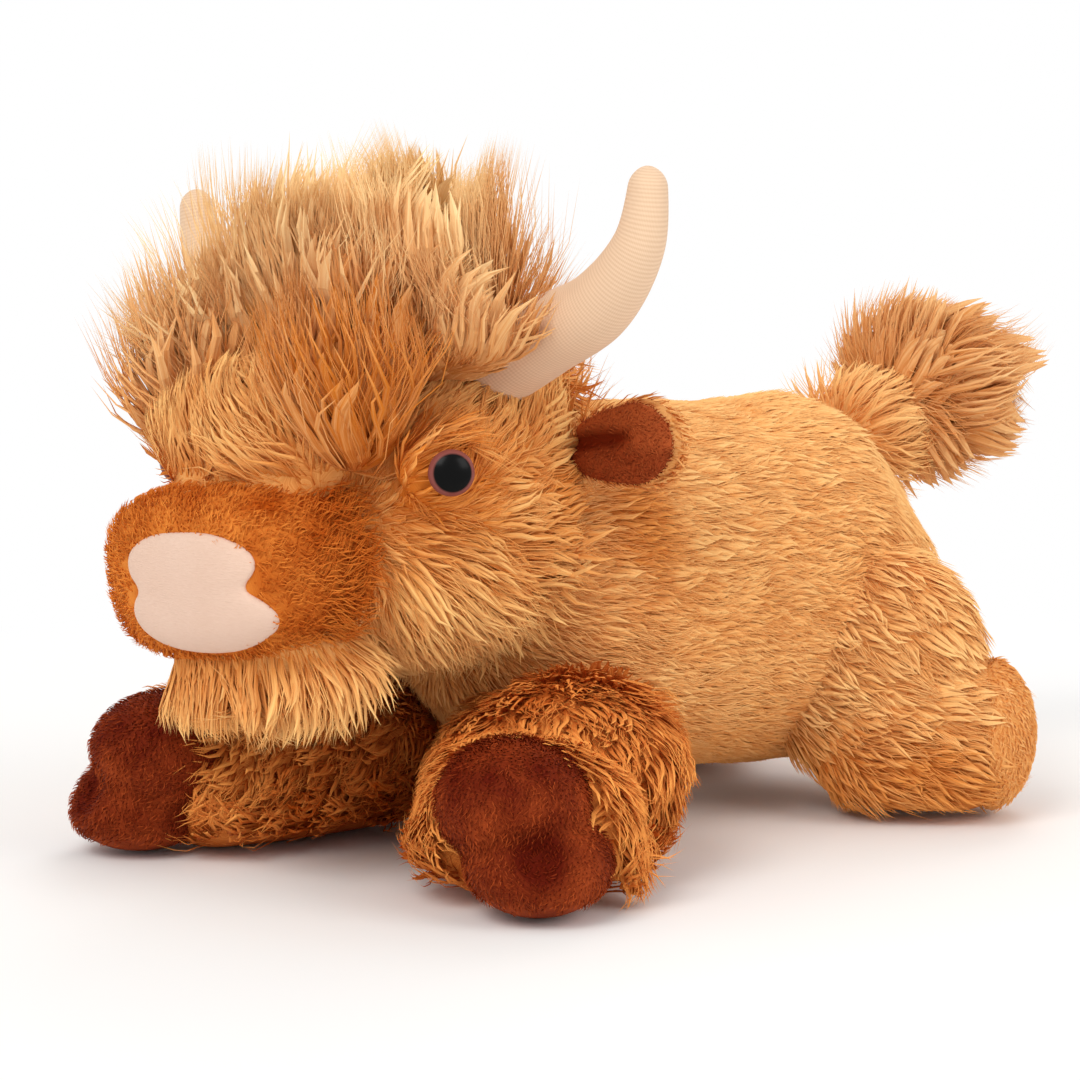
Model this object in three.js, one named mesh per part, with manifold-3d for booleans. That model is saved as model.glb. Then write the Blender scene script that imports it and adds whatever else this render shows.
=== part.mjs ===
// A long-haired plush cow that lies on its belly, in millimetres, +Z up.
// The cow faces -Y and its left side is +X. The origin is under the middle of the toy, on the floor.
// Every soft part is a sewn cover with its own stuffing; the head, ears, tail and legs swing at their seams.

import * as THREE from "three";
import { mergeVertices } from "three/addons/utils/BufferGeometryUtils.js";
import Module from "manifold-3d";

const wasm = await Module();
wasm.setup();

// Cloth and clearances

const fabric = 2.2; // thickness of the plush cloth with its backing
const gap = 0.3; // left between pieces that are sewn or pressed together
const swingGap = 0.7; // left between a part that swings and what it swings against
const floorPress = 0.5; // how far the soft feet flatten where they rest
const swingStep = 10; // degrees between the positions tried across a swing

// Trunk

const trunk = {
  length: 220, // chest to rump
  front: 52, // how far the chest lies ahead of the modelling origin
  halfWidth: 67,
  axisHeight: 77,
  rumpHeight: 57, // of the axis, at the rump
  rise: 65, // from the axis to the back
  drop: 64, // from the axis to the belly
  chestDome: 44,
  rumpDome: 70,
  neckHole: 26, // radius of the opening through which the head is sewn on
};
const trunkShares = [
  { wide: 0.76, rise: 0.95, drop: 0.86 },
  { wide: 0.93, rise: 1.02, drop: 0.97 },
  { wide: 0.98, rise: 0.99, drop: 1 },
  { wide: 1, rise: 0.98, drop: 0.98 },
  { wide: 0.96, rise: 0.76, drop: 0.8 },
];

// Head, measured from the neck pivot

const neck = { ahead: 42, height: 100 };
const head = {
  length: 108,
  back: 34, // how far the head reaches behind the neck pivot
  lift: 16, // height of its axis above the pivot at the back
  dip: 10, // how far the axis falls towards the face
  halfWidth: 64,
  rise: 57,
  drop: 57,
  backDome: 30,
  faceDome: 48,
  yaw: 2,
  roll: 2.5,
  turn: { low: -10, high: 10 }, // swing of the head, to its left when positive
};
const headShares = [
  { wide: 0.86, rise: 0.82, drop: 0.82 },
  { wide: 0.98, rise: 0.98, drop: 0.97 },
  { wide: 1, rise: 1, drop: 1 },
  { wide: 0.95, rise: 0.96, drop: 0.9 },
];
const brow = { ahead: 71, height: 32, halfWidth: 42, halfDepth: 25, halfHeight: 25 };

// Muzzle, nose pad and chin, on the head

const muzzle = {
  root: 52,
  length: 56,
  rootHeight: 1,
  tipHeight: -8,
  halfWidth: 44,
  rise: 30,
  drop: 25,
  rootDome: 12,
  noseDome: 20,
  squareness: 2.9, // of its sections and of its front, seen from above
  roll: 3,
};
const muzzleShares = [
  { wide: 0.9, rise: 1, drop: 0.96 },
  { wide: 0.97, rise: 1, drop: 1 },
  { wide: 1, rise: 0.97, drop: 0.97 },
];
const nosePad = {
  width: 71,
  height: 38,
  depth: 26,
  thickness: 1.9,
  sideOffset: 5.5, // sewn a little to the toy's left
  lift: -0.5,
};
const nosePadShares = [
  [0, 1], [0.5, 0.98], [0.85, 0.76], [1, 0.38], [0.8, 0.16], [0.98, -0.06], [0.9, -0.5], [0.55, -0.88], [0, -1],
];
const chin = {
  root: 44,
  length: 55,
  height: -34,
  halfWidth: 37,
  rise: 15,
  drop: 15,
  rootDome: 14,
  lipDome: 18,
};
const chinShares = [
  { wide: 0.96, rise: 1, drop: 0.9 },
  { wide: 1, rise: 1, drop: 1 },
  { wide: 0.92, rise: 1, drop: 0.92 },
];

// Forelock, horns, ears and eyes, on the head

const forelock = {
  ahead: 45,
  foot: 38,
  height: 90,
  lean: 20, // how far its top stands behind its foot
  halfWidth: 92,
  halfDepth: 45,
  footDome: 24,
  topDome: 42,
};
const forelockShares = [
  { wide: 0.7, rise: 0.7, drop: 0.8 },
  { wide: 0.94, rise: 0.94, drop: 0.96 },
  { wide: 1, rise: 1, drop: 1 },
  { wide: 0.9, rise: 0.94, drop: 0.9 },
];
const horn = {
  sideOffset: 47, // from the middle of the head to where the horn comes out of it
  root: 56, // height of the root above the neck pivot
  ahead: 10,
  reach: 65, // how far the horn spreads sideways
  height: 59,
  radius: 13.5,
  rootDome: 3,
  tipDome: 6,
  fabric: 1.4,
};
const hornRouteShares = [[-0.22, -0.13], [0.28, 0.16], [0.65, 0.32], [0.92, 0.62], [1, 1]]; // outward and upward
const hornShares = [1, 0.91, 0.79, 0.58, 0.39];
const ear = {
  sideOffset: 50, // from the middle of the head to the ear's root
  root: 29,
  back: 13,
  length: 41,
  sweep: 8, // how far the tip points back
  climb: 4, // how far the tip stands above the root
  halfHeight: 14,
  halfThickness: 6.5,
  rootDome: 5,
  tipDome: 16,
  lining: 2.6, // depth of the facing in front of the ear's cover
  foldHeight: 1.8, // of the dark fold across the facing
  foldShare: 0.72, // how much of the ear's length the fold runs
  flap: { low: -15, high: 15 }, // swing of the ear, down when positive
};
const earShares = [0.72, 0.92, 1, 0.94];
const eye = {
  ahead: 43,
  height: 27,
  radius: 6,
  bulge: 3.6,
  flange: 1.2,
  seat: 0.7, // how far the eye presses into the cover
  stemRadius: 1.7,
  stemLength: 8,
  washerRadius: 7,
  washerThickness: 1.6,
};

// Tail, measured from its own pivot

const tail = {
  root: 30, // how far the pivot lies inside the rump
  rootShare: 0.677, // height of the pivot, as a share of the trunk's rise over its axis
  behindPivot: 8, // how far the form starts ahead of the pivot
  length: 56,
  climb: 13,
  radius: 18.5,
  rootDome: 6,
  tipDome: 12,
  swing: { low: -25, high: 25 }, // to each side
};
const tailShares = [1.04, 1, 0.98];
const tuft = {
  start: 12, // along the tail, from its pivot
  length: 78,
  height: 22,
  halfWidth: 38,
  rise: 35,
  drop: 30,
  startDome: 32,
  endDome: 36,
};
const tuftShares = [
  { wide: 0.94, rise: 0.94, drop: 0.92 },
  { wide: 1, rise: 1, drop: 1 },
  { wide: 0.98, rise: 0.94, drop: 0.98 },
];

// Legs, each measured from its own pivot along its own length

const frontLeg = {
  sideOffset: 42,
  place: { left: -36, right: -50 }, // along the toy; the right leg is drawn forward
  splay: { left: 47, right: 7 }, // turned outward from straight ahead
  inside: 38, // how far the form starts behind its pivot
  length: 110,
  rootHeight: 30,
  endHeight: 25,
  halfWidth: 34,
  rise: 26,
  rootDome: 30,
  endDome: 16,
  swing: { low: -4, high: 10 }, // outward is positive
  // The shoulder swells out beside the root
  swelling: { along: 18, aside: 12, height: 36, halfLength: 34, halfWidth: 34, halfHeight: 28 },
};
const frontLegShares = [
  { wide: 0.95, rise: 0.96, drop: 1 },
  { wide: 1, rise: 1, drop: 1 },
  { wide: 0.93, rise: 0.94, drop: 0.9 },
];
const hoof = {
  seam: 58, // from the leg's pivot to where the boot is sewn in
  tip: 92,
  length: 48,
  halfWidth: 23,
  height: 33, // of the upper toe's middle
  halfHeight: 18,
  lowerTip: 98,
  lowerLength: 50,
  lowerHalfWidth: 20,
  lowerHalfHeight: 13.5,
};
const rearLeg = {
  sideOffset: 46,
  place: { left: 98, right: 98 },
  splay: { left: 132, right: 132 },
  inside: 14,
  length: 75,
  rootHeight: 30,
  endHeight: 28,
  halfWidth: 32,
  rise: 29,
  rootDome: 26,
  endDome: 22,
  sole: 10, // depth of the sole panel at the end of the leg
  swing: { low: -8, high: 8 }, // backward is positive
  // The thigh swells up the haunch
  swelling: { along: 8, aside: 0, height: 50, halfLength: 41, halfWidth: 29, halfHeight: 43 },
};
const rearLegShares = [
  { wide: 0.95, rise: 0.98, drop: 1 },
  { wide: 1, rise: 1, drop: 1 },
  { wide: 0.9, rise: 0.92, drop: 0.94 },
];

// Facets

const fine = { sides: 18, rings: 3, domeRings: 3 };
const medium = { sides: 12, rings: 2, domeRings: 3 };
const coarse = { sides: 10, rings: 2, domeRings: 2 };
const ballFacets = { around: 12, along: 6 };
const smallBallFacets = { around: 10, along: 4 };
const roundSides = 10;
const overrun = 40; // how far cutting tools reach past what they cut

// Small helpers for places and turns

const point = (x, y, z) => new THREE.Vector3(x, y, z);
const radians = THREE.MathUtils.degToRad;
const turnZ = (degrees) => new THREE.Matrix4().makeRotationZ(radians(degrees));
const shift = (x, y, z) => new THREE.Matrix4().makeTranslation(x, y, z);

function chain(...matrices) {
  return matrices.reduce((all, next) => all.multiply(next), new THREE.Matrix4());
}

// A closed geometry as a solid that can be joined and cut, placed by a matrix
function solid(geometry, place = new THREE.Matrix4()) {
  const plain = geometry.clone();
  plain.deleteAttribute("normal");
  plain.deleteAttribute("uv");
  plain.applyMatrix4(place);
  const merged = mergeVertices(plain);
  const triVerts = Uint32Array.from(merged.index.array);
  if (place.determinant() < 0) triVerts.reverse();
  return new wasm.Manifold(new wasm.Mesh({
    numProp: 3,
    vertProperties: merged.attributes.position.array,
    triVerts,
  }));
}

// A solid as a geometry that a mesh can show
function shape(body) {
  const mesh = body.getMesh();
  const geometry = new THREE.BufferGeometry();
  geometry.setAttribute("position", new THREE.BufferAttribute(mesh.vertProperties, mesh.numProp));
  geometry.setIndex(new THREE.BufferAttribute(mesh.triVerts, 1));
  geometry.computeVertexNormals();
  return geometry;
}

// A solid's mirror image across the middle of the toy
const mirrored = (body) => solid(shape(body), new THREE.Matrix4().makeScale(-1, 1, 1));

const join = (...bodies) => bodies.reduce((all, next) => all.add(next));
const cut = (body, ...tools) => tools.reduce((left, tool) => left.subtract(tool), body);

const upright = point(0, 0, 1);

// A still neighbour as a part that swings meets it, through the whole swing, joined into one cutting tool
function swung(geometry, pivot, axis, swing, place) {
  const copies = [];
  const steps = Math.ceil((swing.high - swing.low) / swingStep);
  for (let step = 0; step <= steps; step += 1) {
    const angle = -radians(THREE.MathUtils.lerp(swing.low, swing.high, step / steps));
    const turn = new THREE.Matrix4().makeRotationAxis(axis, angle);
    const about = chain(shift(pivot.x, pivot.y, pivot.z), turn, shift(-pivot.x, -pivot.y, -pivot.z));
    copies.push(solid(geometry, chain(place, about)));
  }
  return join(...copies);
}

// Widths, rises and drops along a form, read smoothly from rows that are evenly spaced
function girths(form) {
  const rows = form.shares.map((row) => point(row.wide, row.rise, row.drop));
  const curve = new THREE.CatmullRomCurve3(rows);
  const scale = point(form.halfWidth, form.rise, form.drop);
  return (share) => curve.getPoint(share).multiply(scale);
}

// A coordinate of a rounded outline; a squareness of 2 is an ellipse and more is boxier
const bend = (value, squareness) => Math.sign(value) * Math.abs(value) ** (2 / squareness);

// Places along a form's length where it has a ring, and how far the domes draw each ring in
function ringPlaces(length, startDome, endDome, squareness, facets) {
  const domePlaces = Array.from({ length: facets.domeRings }, (empty, index) => {
    const angle = (Math.PI / 2) * ((index + 1) / facets.domeRings);
    return { depth: 1 - bend(Math.cos(angle), squareness), share: bend(Math.sin(angle), squareness) };
  });
  const places = domePlaces.map(({ depth, share }) => ({ along: startDome * depth, share }));
  const straight = length - startDome - endDome;
  for (let ring = 1; ring < facets.rings; ring += 1) {
    places.push({ along: startDome + straight * (ring / facets.rings), share: 1 });
  }
  domePlaces.reverse();
  return places.concat(domePlaces.map(({ depth, share }) => ({ along: length - endDome * depth, share })));
}

// One point of a rounded section
function sectionPoint(angle, girth, squareness) {
  const up = bend(Math.sin(angle), squareness);
  return { side: bend(Math.cos(angle), squareness) * girth.x, up: up * (up > 0 ? girth.y : girth.z) };
}

// A stuffed form: rounded sections along a bent axis, with a dome at each end, smaller by an inset all round
function stuffedForm(form, inset = 0, facets = form.facets) {
  const axis = new THREE.CatmullRomCurve3(form.axis);
  const length = axis.getLength();
  const girthAt = girths(form);
  const squareness = form.squareness ?? 2;
  const [startDome, endDome] = form.domes.map((dome) => dome - inset);
  const places = ringPlaces(length - 2 * inset, startDome, endDome, squareness, facets);
  const vertices = [axis.getPointAt(Math.max(inset, 0) / length)];
  if (inset < 0) vertices[0].addScaledVector(axis.getTangentAt(0), inset);
  for (const place of places) {
    const share = THREE.MathUtils.clamp((place.along + inset) / length, 0, 1);
    const centre = axis.getPointAt(share);
    const along = axis.getTangentAt(share);
    centre.addScaledVector(along, place.along + inset - share * length);
    const up = new THREE.Vector3().crossVectors(form.across, along).normalize();
    const girth = girthAt(share).addScalar(-inset).multiplyScalar(place.share);
    for (let side = 0; side < facets.sides; side += 1) {
      const spot = sectionPoint((2 * Math.PI * side) / facets.sides, girth, squareness);
      vertices.push(centre.clone().addScaledVector(form.across, spot.side).addScaledVector(up, spot.up));
    }
  }
  const last = axis.getPointAt(1);
  vertices.push(last.addScaledVector(axis.getTangentAt(1), -inset));
  return closedRings(vertices, facets.sides, places.length);
}

// Faces over rings of points that lie between a first and a last pole
function closedRings(vertices, sides, rings) {
  const faces = [];
  const lastPole = vertices.length - 1;
  const ringStart = (ring) => 1 + ring * sides;
  for (let side = 0; side < sides; side += 1) {
    const next = (side + 1) % sides;
    faces.push(0, ringStart(0) + side, ringStart(0) + next);
    for (let ring = 0; ring < rings - 1; ring += 1) {
      const here = ringStart(ring);
      const there = ringStart(ring + 1);
      faces.push(here + side, there + side, there + next);
      faces.push(here + side, there + next, here + next);
    }
    faces.push(ringStart(rings - 1) + side, lastPole, ringStart(rings - 1) + next);
  }
  const geometry = new THREE.BufferGeometry().setFromPoints(vertices);
  geometry.setIndex(faces);
  return geometry;
}

// An egg-shaped swelling around a centre
function swelling(centre, radii, inset = 0, facets = ballFacets) {
  const ball = new THREE.SphereGeometry(1, facets.around, facets.along);
  ball.rotateX(Math.PI / 2);
  ball.scale(radii.x - inset, radii.y - inset, radii.z - inset);
  return ball.translate(centre.x, centre.y, centre.z);
}

// A round bar from one point to another
function bar(from, to, radius) {
  const rod = new THREE.CylinderGeometry(radius, radius, from.distanceTo(to), roundSides);
  const lie = new THREE.Quaternion().setFromUnitVectors(point(0, 1, 0), to.clone().sub(from).normalize());
  const middle = from.clone().add(to).multiplyScalar(1 / 2);
  return rod.applyQuaternion(lie).translate(middle.x, middle.y, middle.z);
}

// A block from one corner to the opposite one
function block(low, high) {
  const size = high.clone().sub(low);
  const middle = high.clone().add(low).multiplyScalar(1 / 2);
  return new THREE.BoxGeometry(size.x, size.y, size.z).translate(middle.x, middle.y, middle.z);
}

// Everything below the floor, which flattens the soft feet
function floorBlock() {
  const reach = trunk.length + overrun;
  return solid(block(point(-reach, -reach, -overrun), point(reach, reach, 0)));
}

// Finishes

const plush = (colour) => new THREE.MeshStandardMaterial({ color: colour, roughness: 0.95, metalness: 0 });
const finish = {
  goldenFur: plush(0xd5975b),
  headFur: plush(0xcf8c4d),
  legFur: plush(0xb46028),
  tuftFur: plush(0xd9955a),
  muzzlePile: plush(0xb56a2c),
  brownPile: plush(0x8d3514),
  pinkFleece: plush(0xe9c8b2),
  creamWeave: plush(0xecc8a8),
  stuffing: plush(0xf4f1ea),
  eyePlastic: new THREE.MeshStandardMaterial({ color: 0x0c0d08, roughness: 0.15, metalness: 0 }),
  washerPlastic: new THREE.MeshStandardMaterial({ color: 0xe6e2d8, roughness: 0.5, metalness: 0 }),
};

function piece(name, body, material) {
  const mesh = new THREE.Mesh(shape(body), material);
  mesh.name = name;
  return mesh;
}

// A piece on the toy's left side and its mirror image on the right
function pair(name, leftBody, material) {
  return [piece(`${name}_left`, leftBody, material), piece(`${name}_right`, mirrored(leftBody), material)];
}

// The trunk's form, and the pieces made from it

const trunkForm = {
  axis: [
    point(0, -trunk.front, trunk.axisHeight),
    point(0, trunk.length / 2 - trunk.front, trunk.axisHeight),
    point(0, trunk.length - trunk.front, trunk.rumpHeight),
  ],
  across: point(1, 0, 0),
  halfWidth: trunk.halfWidth,
  rise: trunk.rise,
  drop: trunk.drop,
  shares: trunkShares,
  domes: [trunk.chestDome, trunk.rumpDome],
  facets: fine,
};
// The trunk grown by the clearance of a swing, which cuts what swings against it
const trunkRoom = stuffedForm(trunkForm, -swingGap);

function makeTrunk() {
  const chest = point(0, -trunk.front - overrun, trunk.axisHeight);
  const inside = point(0, -trunk.front + trunk.chestDome, trunk.axisHeight);
  const neckOpening = solid(bar(chest, inside, trunk.neckHole));
  const cover = cut(solid(stuffedForm(trunkForm)), solid(stuffedForm(trunkForm, fabric, medium)), neckOpening);
  const group = new THREE.Group();
  group.add(piece("body_cover", cover, finish.goldenFur));
  group.add(piece("body_stuffing", solid(stuffedForm(trunkForm, fabric + gap, medium)), finish.stuffing));
  return group;
}

// The head, modelled from its neck pivot and then turned and rolled

const headPose = chain(
  shift(0, -neck.ahead, neck.height),
  turnZ(head.yaw),
  new THREE.Matrix4().makeRotationY(radians(-head.roll)),
);
const headForm = {
  axis: [
    point(0, head.back, head.lift),
    point(0, head.back - head.length / 2, head.lift - head.dip / 4),
    point(0, head.back - head.length, head.lift - head.dip),
  ],
  across: point(-1, 0, 0),
  halfWidth: head.halfWidth,
  rise: head.rise,
  drop: head.drop,
  shares: headShares,
  domes: [head.backDome, head.faceDome],
  facets: fine,
};

function headSolid(inset = 0, facets = fine) {
  const centre = point(0, -brow.ahead, brow.height);
  const radii = point(brow.halfWidth, brow.halfDepth, brow.halfHeight);
  return join(solid(stuffedForm(headForm, inset, facets)), solid(swelling(centre, radii, inset)));
}

const muzzleForm = {
  axis: [
    point(0, -muzzle.root, muzzle.rootHeight),
    point(0, -muzzle.root - muzzle.length, muzzle.tipHeight),
  ],
  across: point(-1, 0, 0),
  halfWidth: muzzle.halfWidth,
  rise: muzzle.rise,
  drop: muzzle.drop,
  shares: muzzleShares,
  domes: [muzzle.rootDome, muzzle.noseDome],
  squareness: muzzle.squareness,
  facets: { sides: 16, rings: 2, domeRings: 3 },
};
const muzzleRoll = new THREE.Matrix4().makeRotationY(radians(-muzzle.roll));
const muzzleSolid = (inset = 0, facets = muzzleForm.facets) =>
  solid(stuffedForm(muzzleForm, inset, facets), muzzleRoll);

const chinForm = {
  axis: [
    point(0, -chin.root, chin.height),
    point(0, -chin.root - chin.length, chin.height),
  ],
  across: point(-1, 0, 0),
  halfWidth: chin.halfWidth,
  rise: chin.rise,
  drop: chin.drop,
  shares: chinShares,
  domes: [chin.rootDome, chin.lipDome],
  facets: medium,
};
const chinSolid = (inset = 0, facets = medium) => solid(stuffedForm(chinForm, inset, facets), muzzleRoll);

// The room that the trunk takes as the head turns, seen from the head
const neckPivot = point(0, -neck.ahead, neck.height);
const trunkFromHead = swung(trunkRoom, neckPivot, upright, head.turn, headPose.clone().invert());

// A line of points mirrored to the other side, in the order that closes the outline
function mirroredOutline(shares, halfWidth, halfHeight) {
  const right = shares.map(([x, y]) => new THREE.Vector2(x * halfWidth, y * halfHeight));
  const left = right.slice(1, -1).reverse().map((spot) => new THREE.Vector2(-spot.x, spot.y));
  return new THREE.Shape([...right, ...left]);
}

// The nose pad wraps the front of the muzzle: a slice of the muzzle's swollen skin inside the pad's outline
function makeNosePad() {
  const outline = mirroredOutline(nosePadShares, nosePad.width / 2, nosePad.height / 2);
  const prism = new THREE.ExtrudeGeometry(outline, { depth: overrun, bevelEnabled: false });
  const tip = -muzzle.root - muzzle.length;
  prism.rotateX(Math.PI / 2);
  prism.translate(nosePad.sideOffset, tip + nosePad.depth, muzzle.tipHeight + nosePad.lift);
  const slice = solid(prism, muzzleRoll);
  return cut(muzzleSolid(-gap - nosePad.thickness).intersect(slice), muzzleSolid(-gap));
}

// The left eye, its washer and the room that both take in the cover and the stuffing

// Where a ray from inside the head leaves its skin, and which way the skin faces there
function skinSpot() {
  const skin = new THREE.Mesh(stuffedForm(headForm), new THREE.MeshBasicMaterial({ side: THREE.DoubleSide }));
  const from = point(0, -eye.ahead, eye.height);
  const hit = new THREE.Raycaster(from, point(1, 0, 0)).intersectObject(skin)[0];
  return { spot: hit.point, facing: hit.face.normal.clone() };
}

function makeEye() {
  const { spot, facing } = skinSpot();
  const at = (depth) => spot.clone().addScaledVector(facing, -depth);
  const back = at(eye.seat - gap);
  const rim = at(eye.seat - gap - eye.flange);
  const dome = swelling(point(0, 0, 0), point(eye.radius, eye.radius, eye.bulge), 0, smallBallFacets);
  dome.applyQuaternion(new THREE.Quaternion().setFromUnitVectors(upright, facing));
  dome.translate(rim.x, rim.y, rim.z);
  const behind = solid(bar(back, at(overrun), eye.radius + overrun));
  const flange = solid(bar(rim, back, eye.radius));
  const stem = solid(bar(rim, at(eye.stemLength), eye.stemRadius));
  const hole = solid(bar(at(-overrun), at(eye.stemLength + gap), eye.stemRadius + gap));
  const washerTop = eye.seat + fabric + gap;
  const washer = (grow) => solid(bar(
    at(washerTop - grow),
    at(washerTop + eye.washerThickness + grow),
    eye.washerRadius + grow,
  ));
  const seat = solid(bar(at(-overrun), at(eye.seat), eye.radius + gap));
  return {
    eye: join(cut(solid(dome), behind), flange, stem),
    washer: cut(washer(0), hole),
    room: join(seat, hole, washer(gap)),
  };
}

// The left horn

const hornForm = {
  axis: hornRouteShares.map(([out, up]) => point(
    horn.sideOffset + out * horn.reach,
    -horn.ahead,
    horn.root + up * horn.height,
  )),
  across: point(0, -1, 0),
  halfWidth: horn.radius,
  rise: horn.radius,
  drop: horn.radius,
  shares: hornShares.map((share) => ({ wide: share, rise: share, drop: share })),
  domes: [horn.rootDome, horn.tipDome],
  facets: { sides: 8, rings: 6, domeRings: 2 },
};

// The left ear: a cover with a brown facing sewn into its front, which has a fold along it

const earRoot = point(ear.sideOffset, ear.back, ear.root);
const earTip = point(ear.sideOffset + ear.length, ear.back + ear.sweep, ear.root + ear.climb);
const earForm = {
  axis: [earRoot, earTip],
  across: point(0, -1, 0),
  halfWidth: ear.halfThickness,
  rise: ear.halfHeight,
  drop: ear.halfHeight,
  shares: earShares.map((share) => ({ wide: 1, rise: share, drop: share })),
  domes: [ear.rootDome, ear.tipDome],
  facets: coarse,
};

function makeEar() {
  const headRoom = stuffedForm(headForm, -swingGap);
  const headFromEar = swung(headRoom, earRoot, point(0, 1, 0), ear.flap, new THREE.Matrix4());
  const place = chain(
    shift(earRoot.x, earRoot.y, earRoot.z),
    turnZ(THREE.MathUtils.radToDeg(Math.atan2(ear.sweep, ear.length))),
    new THREE.Matrix4().makeRotationY(-Math.atan2(ear.climb, ear.length)),
  );
  const reach = ear.length + overrun;
  const seam = ear.lining - ear.halfThickness;
  const front = (grow) => solid(block(point(-reach, -reach, -reach), point(reach, seam + grow, reach)), place);
  const fold = solid(block(
    point(-reach, -reach, -ear.foldHeight / 2),
    point(ear.foldShare * ear.length, seam - ear.lining / 4, ear.foldHeight / 2),
  ), place);
  const whole = cut(solid(stuffedForm(earForm)), headFromEar);
  return { cover: cut(whole, front(gap)), lining: cut(whole.intersect(front(0)), fold) };
}

// The forelock, a mass of long hair that fans out from the crown

const forelockForm = {
  axis: [
    point(0, -forelock.ahead, forelock.foot),
    point(0, forelock.lean - forelock.ahead, forelock.foot + forelock.height),
  ],
  across: point(1, 0, 0),
  halfWidth: forelock.halfWidth,
  rise: forelock.halfDepth,
  drop: forelock.halfDepth,
  shares: forelockShares,
  domes: [forelock.footDome, forelock.topDome],
  facets: { sides: 16, rings: 2, domeRings: 3 },
};

function makeHead() {
  const skullRoom = headSolid(-gap);
  const muzzleRoom = muzzleSolid(-gap);
  const inner = fabric + gap;
  const { eye: leftEye, washer, room: eyeRoom } = makeEye();
  const eyeRooms = join(eyeRoom, mirrored(eyeRoom));
  const { cover: earCover, lining: earLining } = makeEar();
  const hornRoom = solid(stuffedForm(hornForm, -gap));

  const headCover = cut(
    headSolid(),
    headSolid(fabric, medium),
    muzzleSolid(fabric, coarse),
    chinSolid(fabric, coarse),
    trunkFromHead,
    eyeRooms,
  );
  const muzzleCover = cut(muzzleSolid(), muzzleSolid(fabric, coarse), skullRoom);
  const chinCover = cut(chinSolid(), chinSolid(fabric, coarse), skullRoom, muzzleRoom);
  const headFill = cut(
    join(headSolid(inner, medium), muzzleSolid(inner, coarse), cut(chinSolid(inner, coarse), muzzleRoom)),
    trunkFromHead,
    eyeRooms,
  );
  const lock = cut(solid(stuffedForm(forelockForm)), skullRoom, hornRoom, mirrored(hornRoom));
  const hornCover = cut(solid(stuffedForm(hornForm)), solid(stuffedForm(hornForm, horn.fabric)), skullRoom);
  const hornFill = cut(solid(stuffedForm(hornForm, horn.fabric + gap)), skullRoom);

  const group = new THREE.Group();
  group.applyMatrix4(headPose);
  group.add(
    piece("head_cover", headCover, finish.headFur),
    piece("head_stuffing", headFill, finish.stuffing),
    piece("muzzle_cover", muzzleCover, finish.muzzlePile),
    piece("nose_pad", makeNosePad(), finish.pinkFleece),
    piece("chin_cover", chinCover, finish.goldenFur),
    piece("forelock", lock, finish.tuftFur),
    ...pair("horn_cover", hornCover, finish.creamWeave),
    ...pair("horn_stuffing", hornFill, finish.stuffing),
    ...pair("ear_cover", earCover, finish.goldenFur),
    ...pair("ear_lining", earLining, finish.brownPile),
    ...pair("eye", leftEye, finish.eyePlastic),
    ...pair("eye_washer", washer, finish.washerPlastic),
  );
  return group;
}

// The tail, which carries its tuft

const tailPivot = point(
  0,
  trunk.length - trunk.front - tail.root,
  trunk.axisHeight + tail.rootShare * trunk.rise,
);
const tailForm = {
  axis: [
    point(0, -tail.behindPivot, -tail.behindPivot * (tail.climb / tail.length)),
    point(0, tail.length, tail.climb),
  ],
  across: point(1, 0, 0),
  halfWidth: tail.radius,
  rise: tail.radius,
  drop: tail.radius,
  shares: tailShares.map((share) => ({ wide: share, rise: share, drop: share })),
  domes: [tail.rootDome, tail.tipDome],
  facets: medium,
};
const tuftForm = {
  axis: [point(0, tuft.start, tuft.height), point(0, tuft.start + tuft.length, tuft.height)],
  across: point(1, 0, 0),
  halfWidth: tuft.halfWidth,
  rise: tuft.rise,
  drop: tuft.drop,
  shares: tuftShares,
  domes: [tuft.startDome, tuft.endDome],
  facets: { sides: 14, rings: 2, domeRings: 3 },
};

function makeTail() {
  const toPivot = shift(-tailPivot.x, -tailPivot.y, -tailPivot.z);
  const trunkFromTail = swung(trunkRoom, tailPivot, upright, tail.swing, toPivot);
  const shaft = (inset) => solid(stuffedForm(tailForm, inset, inset > 0 ? coarse : medium));
  const group = new THREE.Group();
  group.position.copy(tailPivot);
  group.add(
    piece("tail_cover", cut(shaft(0), shaft(fabric), trunkFromTail), finish.goldenFur),
    piece("tail_stuffing", cut(shaft(fabric + gap), trunkFromTail), finish.stuffing),
    piece("tail_tuft", cut(solid(stuffedForm(tuftForm)), shaft(-gap), trunkFromTail), finish.tuftFur),
  );
  return group;
}

// The legs are modelled on the left side; a mirror image makes each right one

const floor = floorBlock();

function legForm(leg, shares) {
  return {
    axis: [point(-leg.inside, 0, leg.rootHeight), point(leg.length - leg.inside, 0, leg.endHeight)],
    across: point(0, -1, 0),
    halfWidth: leg.halfWidth,
    rise: leg.rise,
    drop: leg.rootHeight + floorPress,
    shares,
    domes: [leg.rootDome, leg.endDome],
    facets: medium,
  };
}

// A leg with the swelling at its root
function legSolid(leg, shares, pose, inset = 0, facets = medium) {
  const { along, aside, height, halfLength, halfWidth, halfHeight } = leg.swelling;
  const root = swelling(point(along, aside, height), point(halfLength, halfWidth, halfHeight), inset);
  return join(solid(stuffedForm(legForm(leg, shares), inset, facets), pose), solid(root, pose));
}

// What every leg is cut with, placed at the leg's own splay
function legRoom(leg, side) {
  const pose = chain(shift(leg.sideOffset, leg.place[side], 0), turnZ(leg.splay[side] - 90));
  const pivot = point(leg.sideOffset, leg.place[side], 0);
  const reach = leg.length + overrun;
  return {
    pose,
    trunkSwung: swung(trunkRoom, pivot, upright, leg.swing, new THREE.Matrix4()),
    // Everything on the body's side of a plane across the leg
    behind: (seam) => solid(block(point(-reach, -reach, -reach), point(seam, reach, reach)), pose),
  };
}

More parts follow.
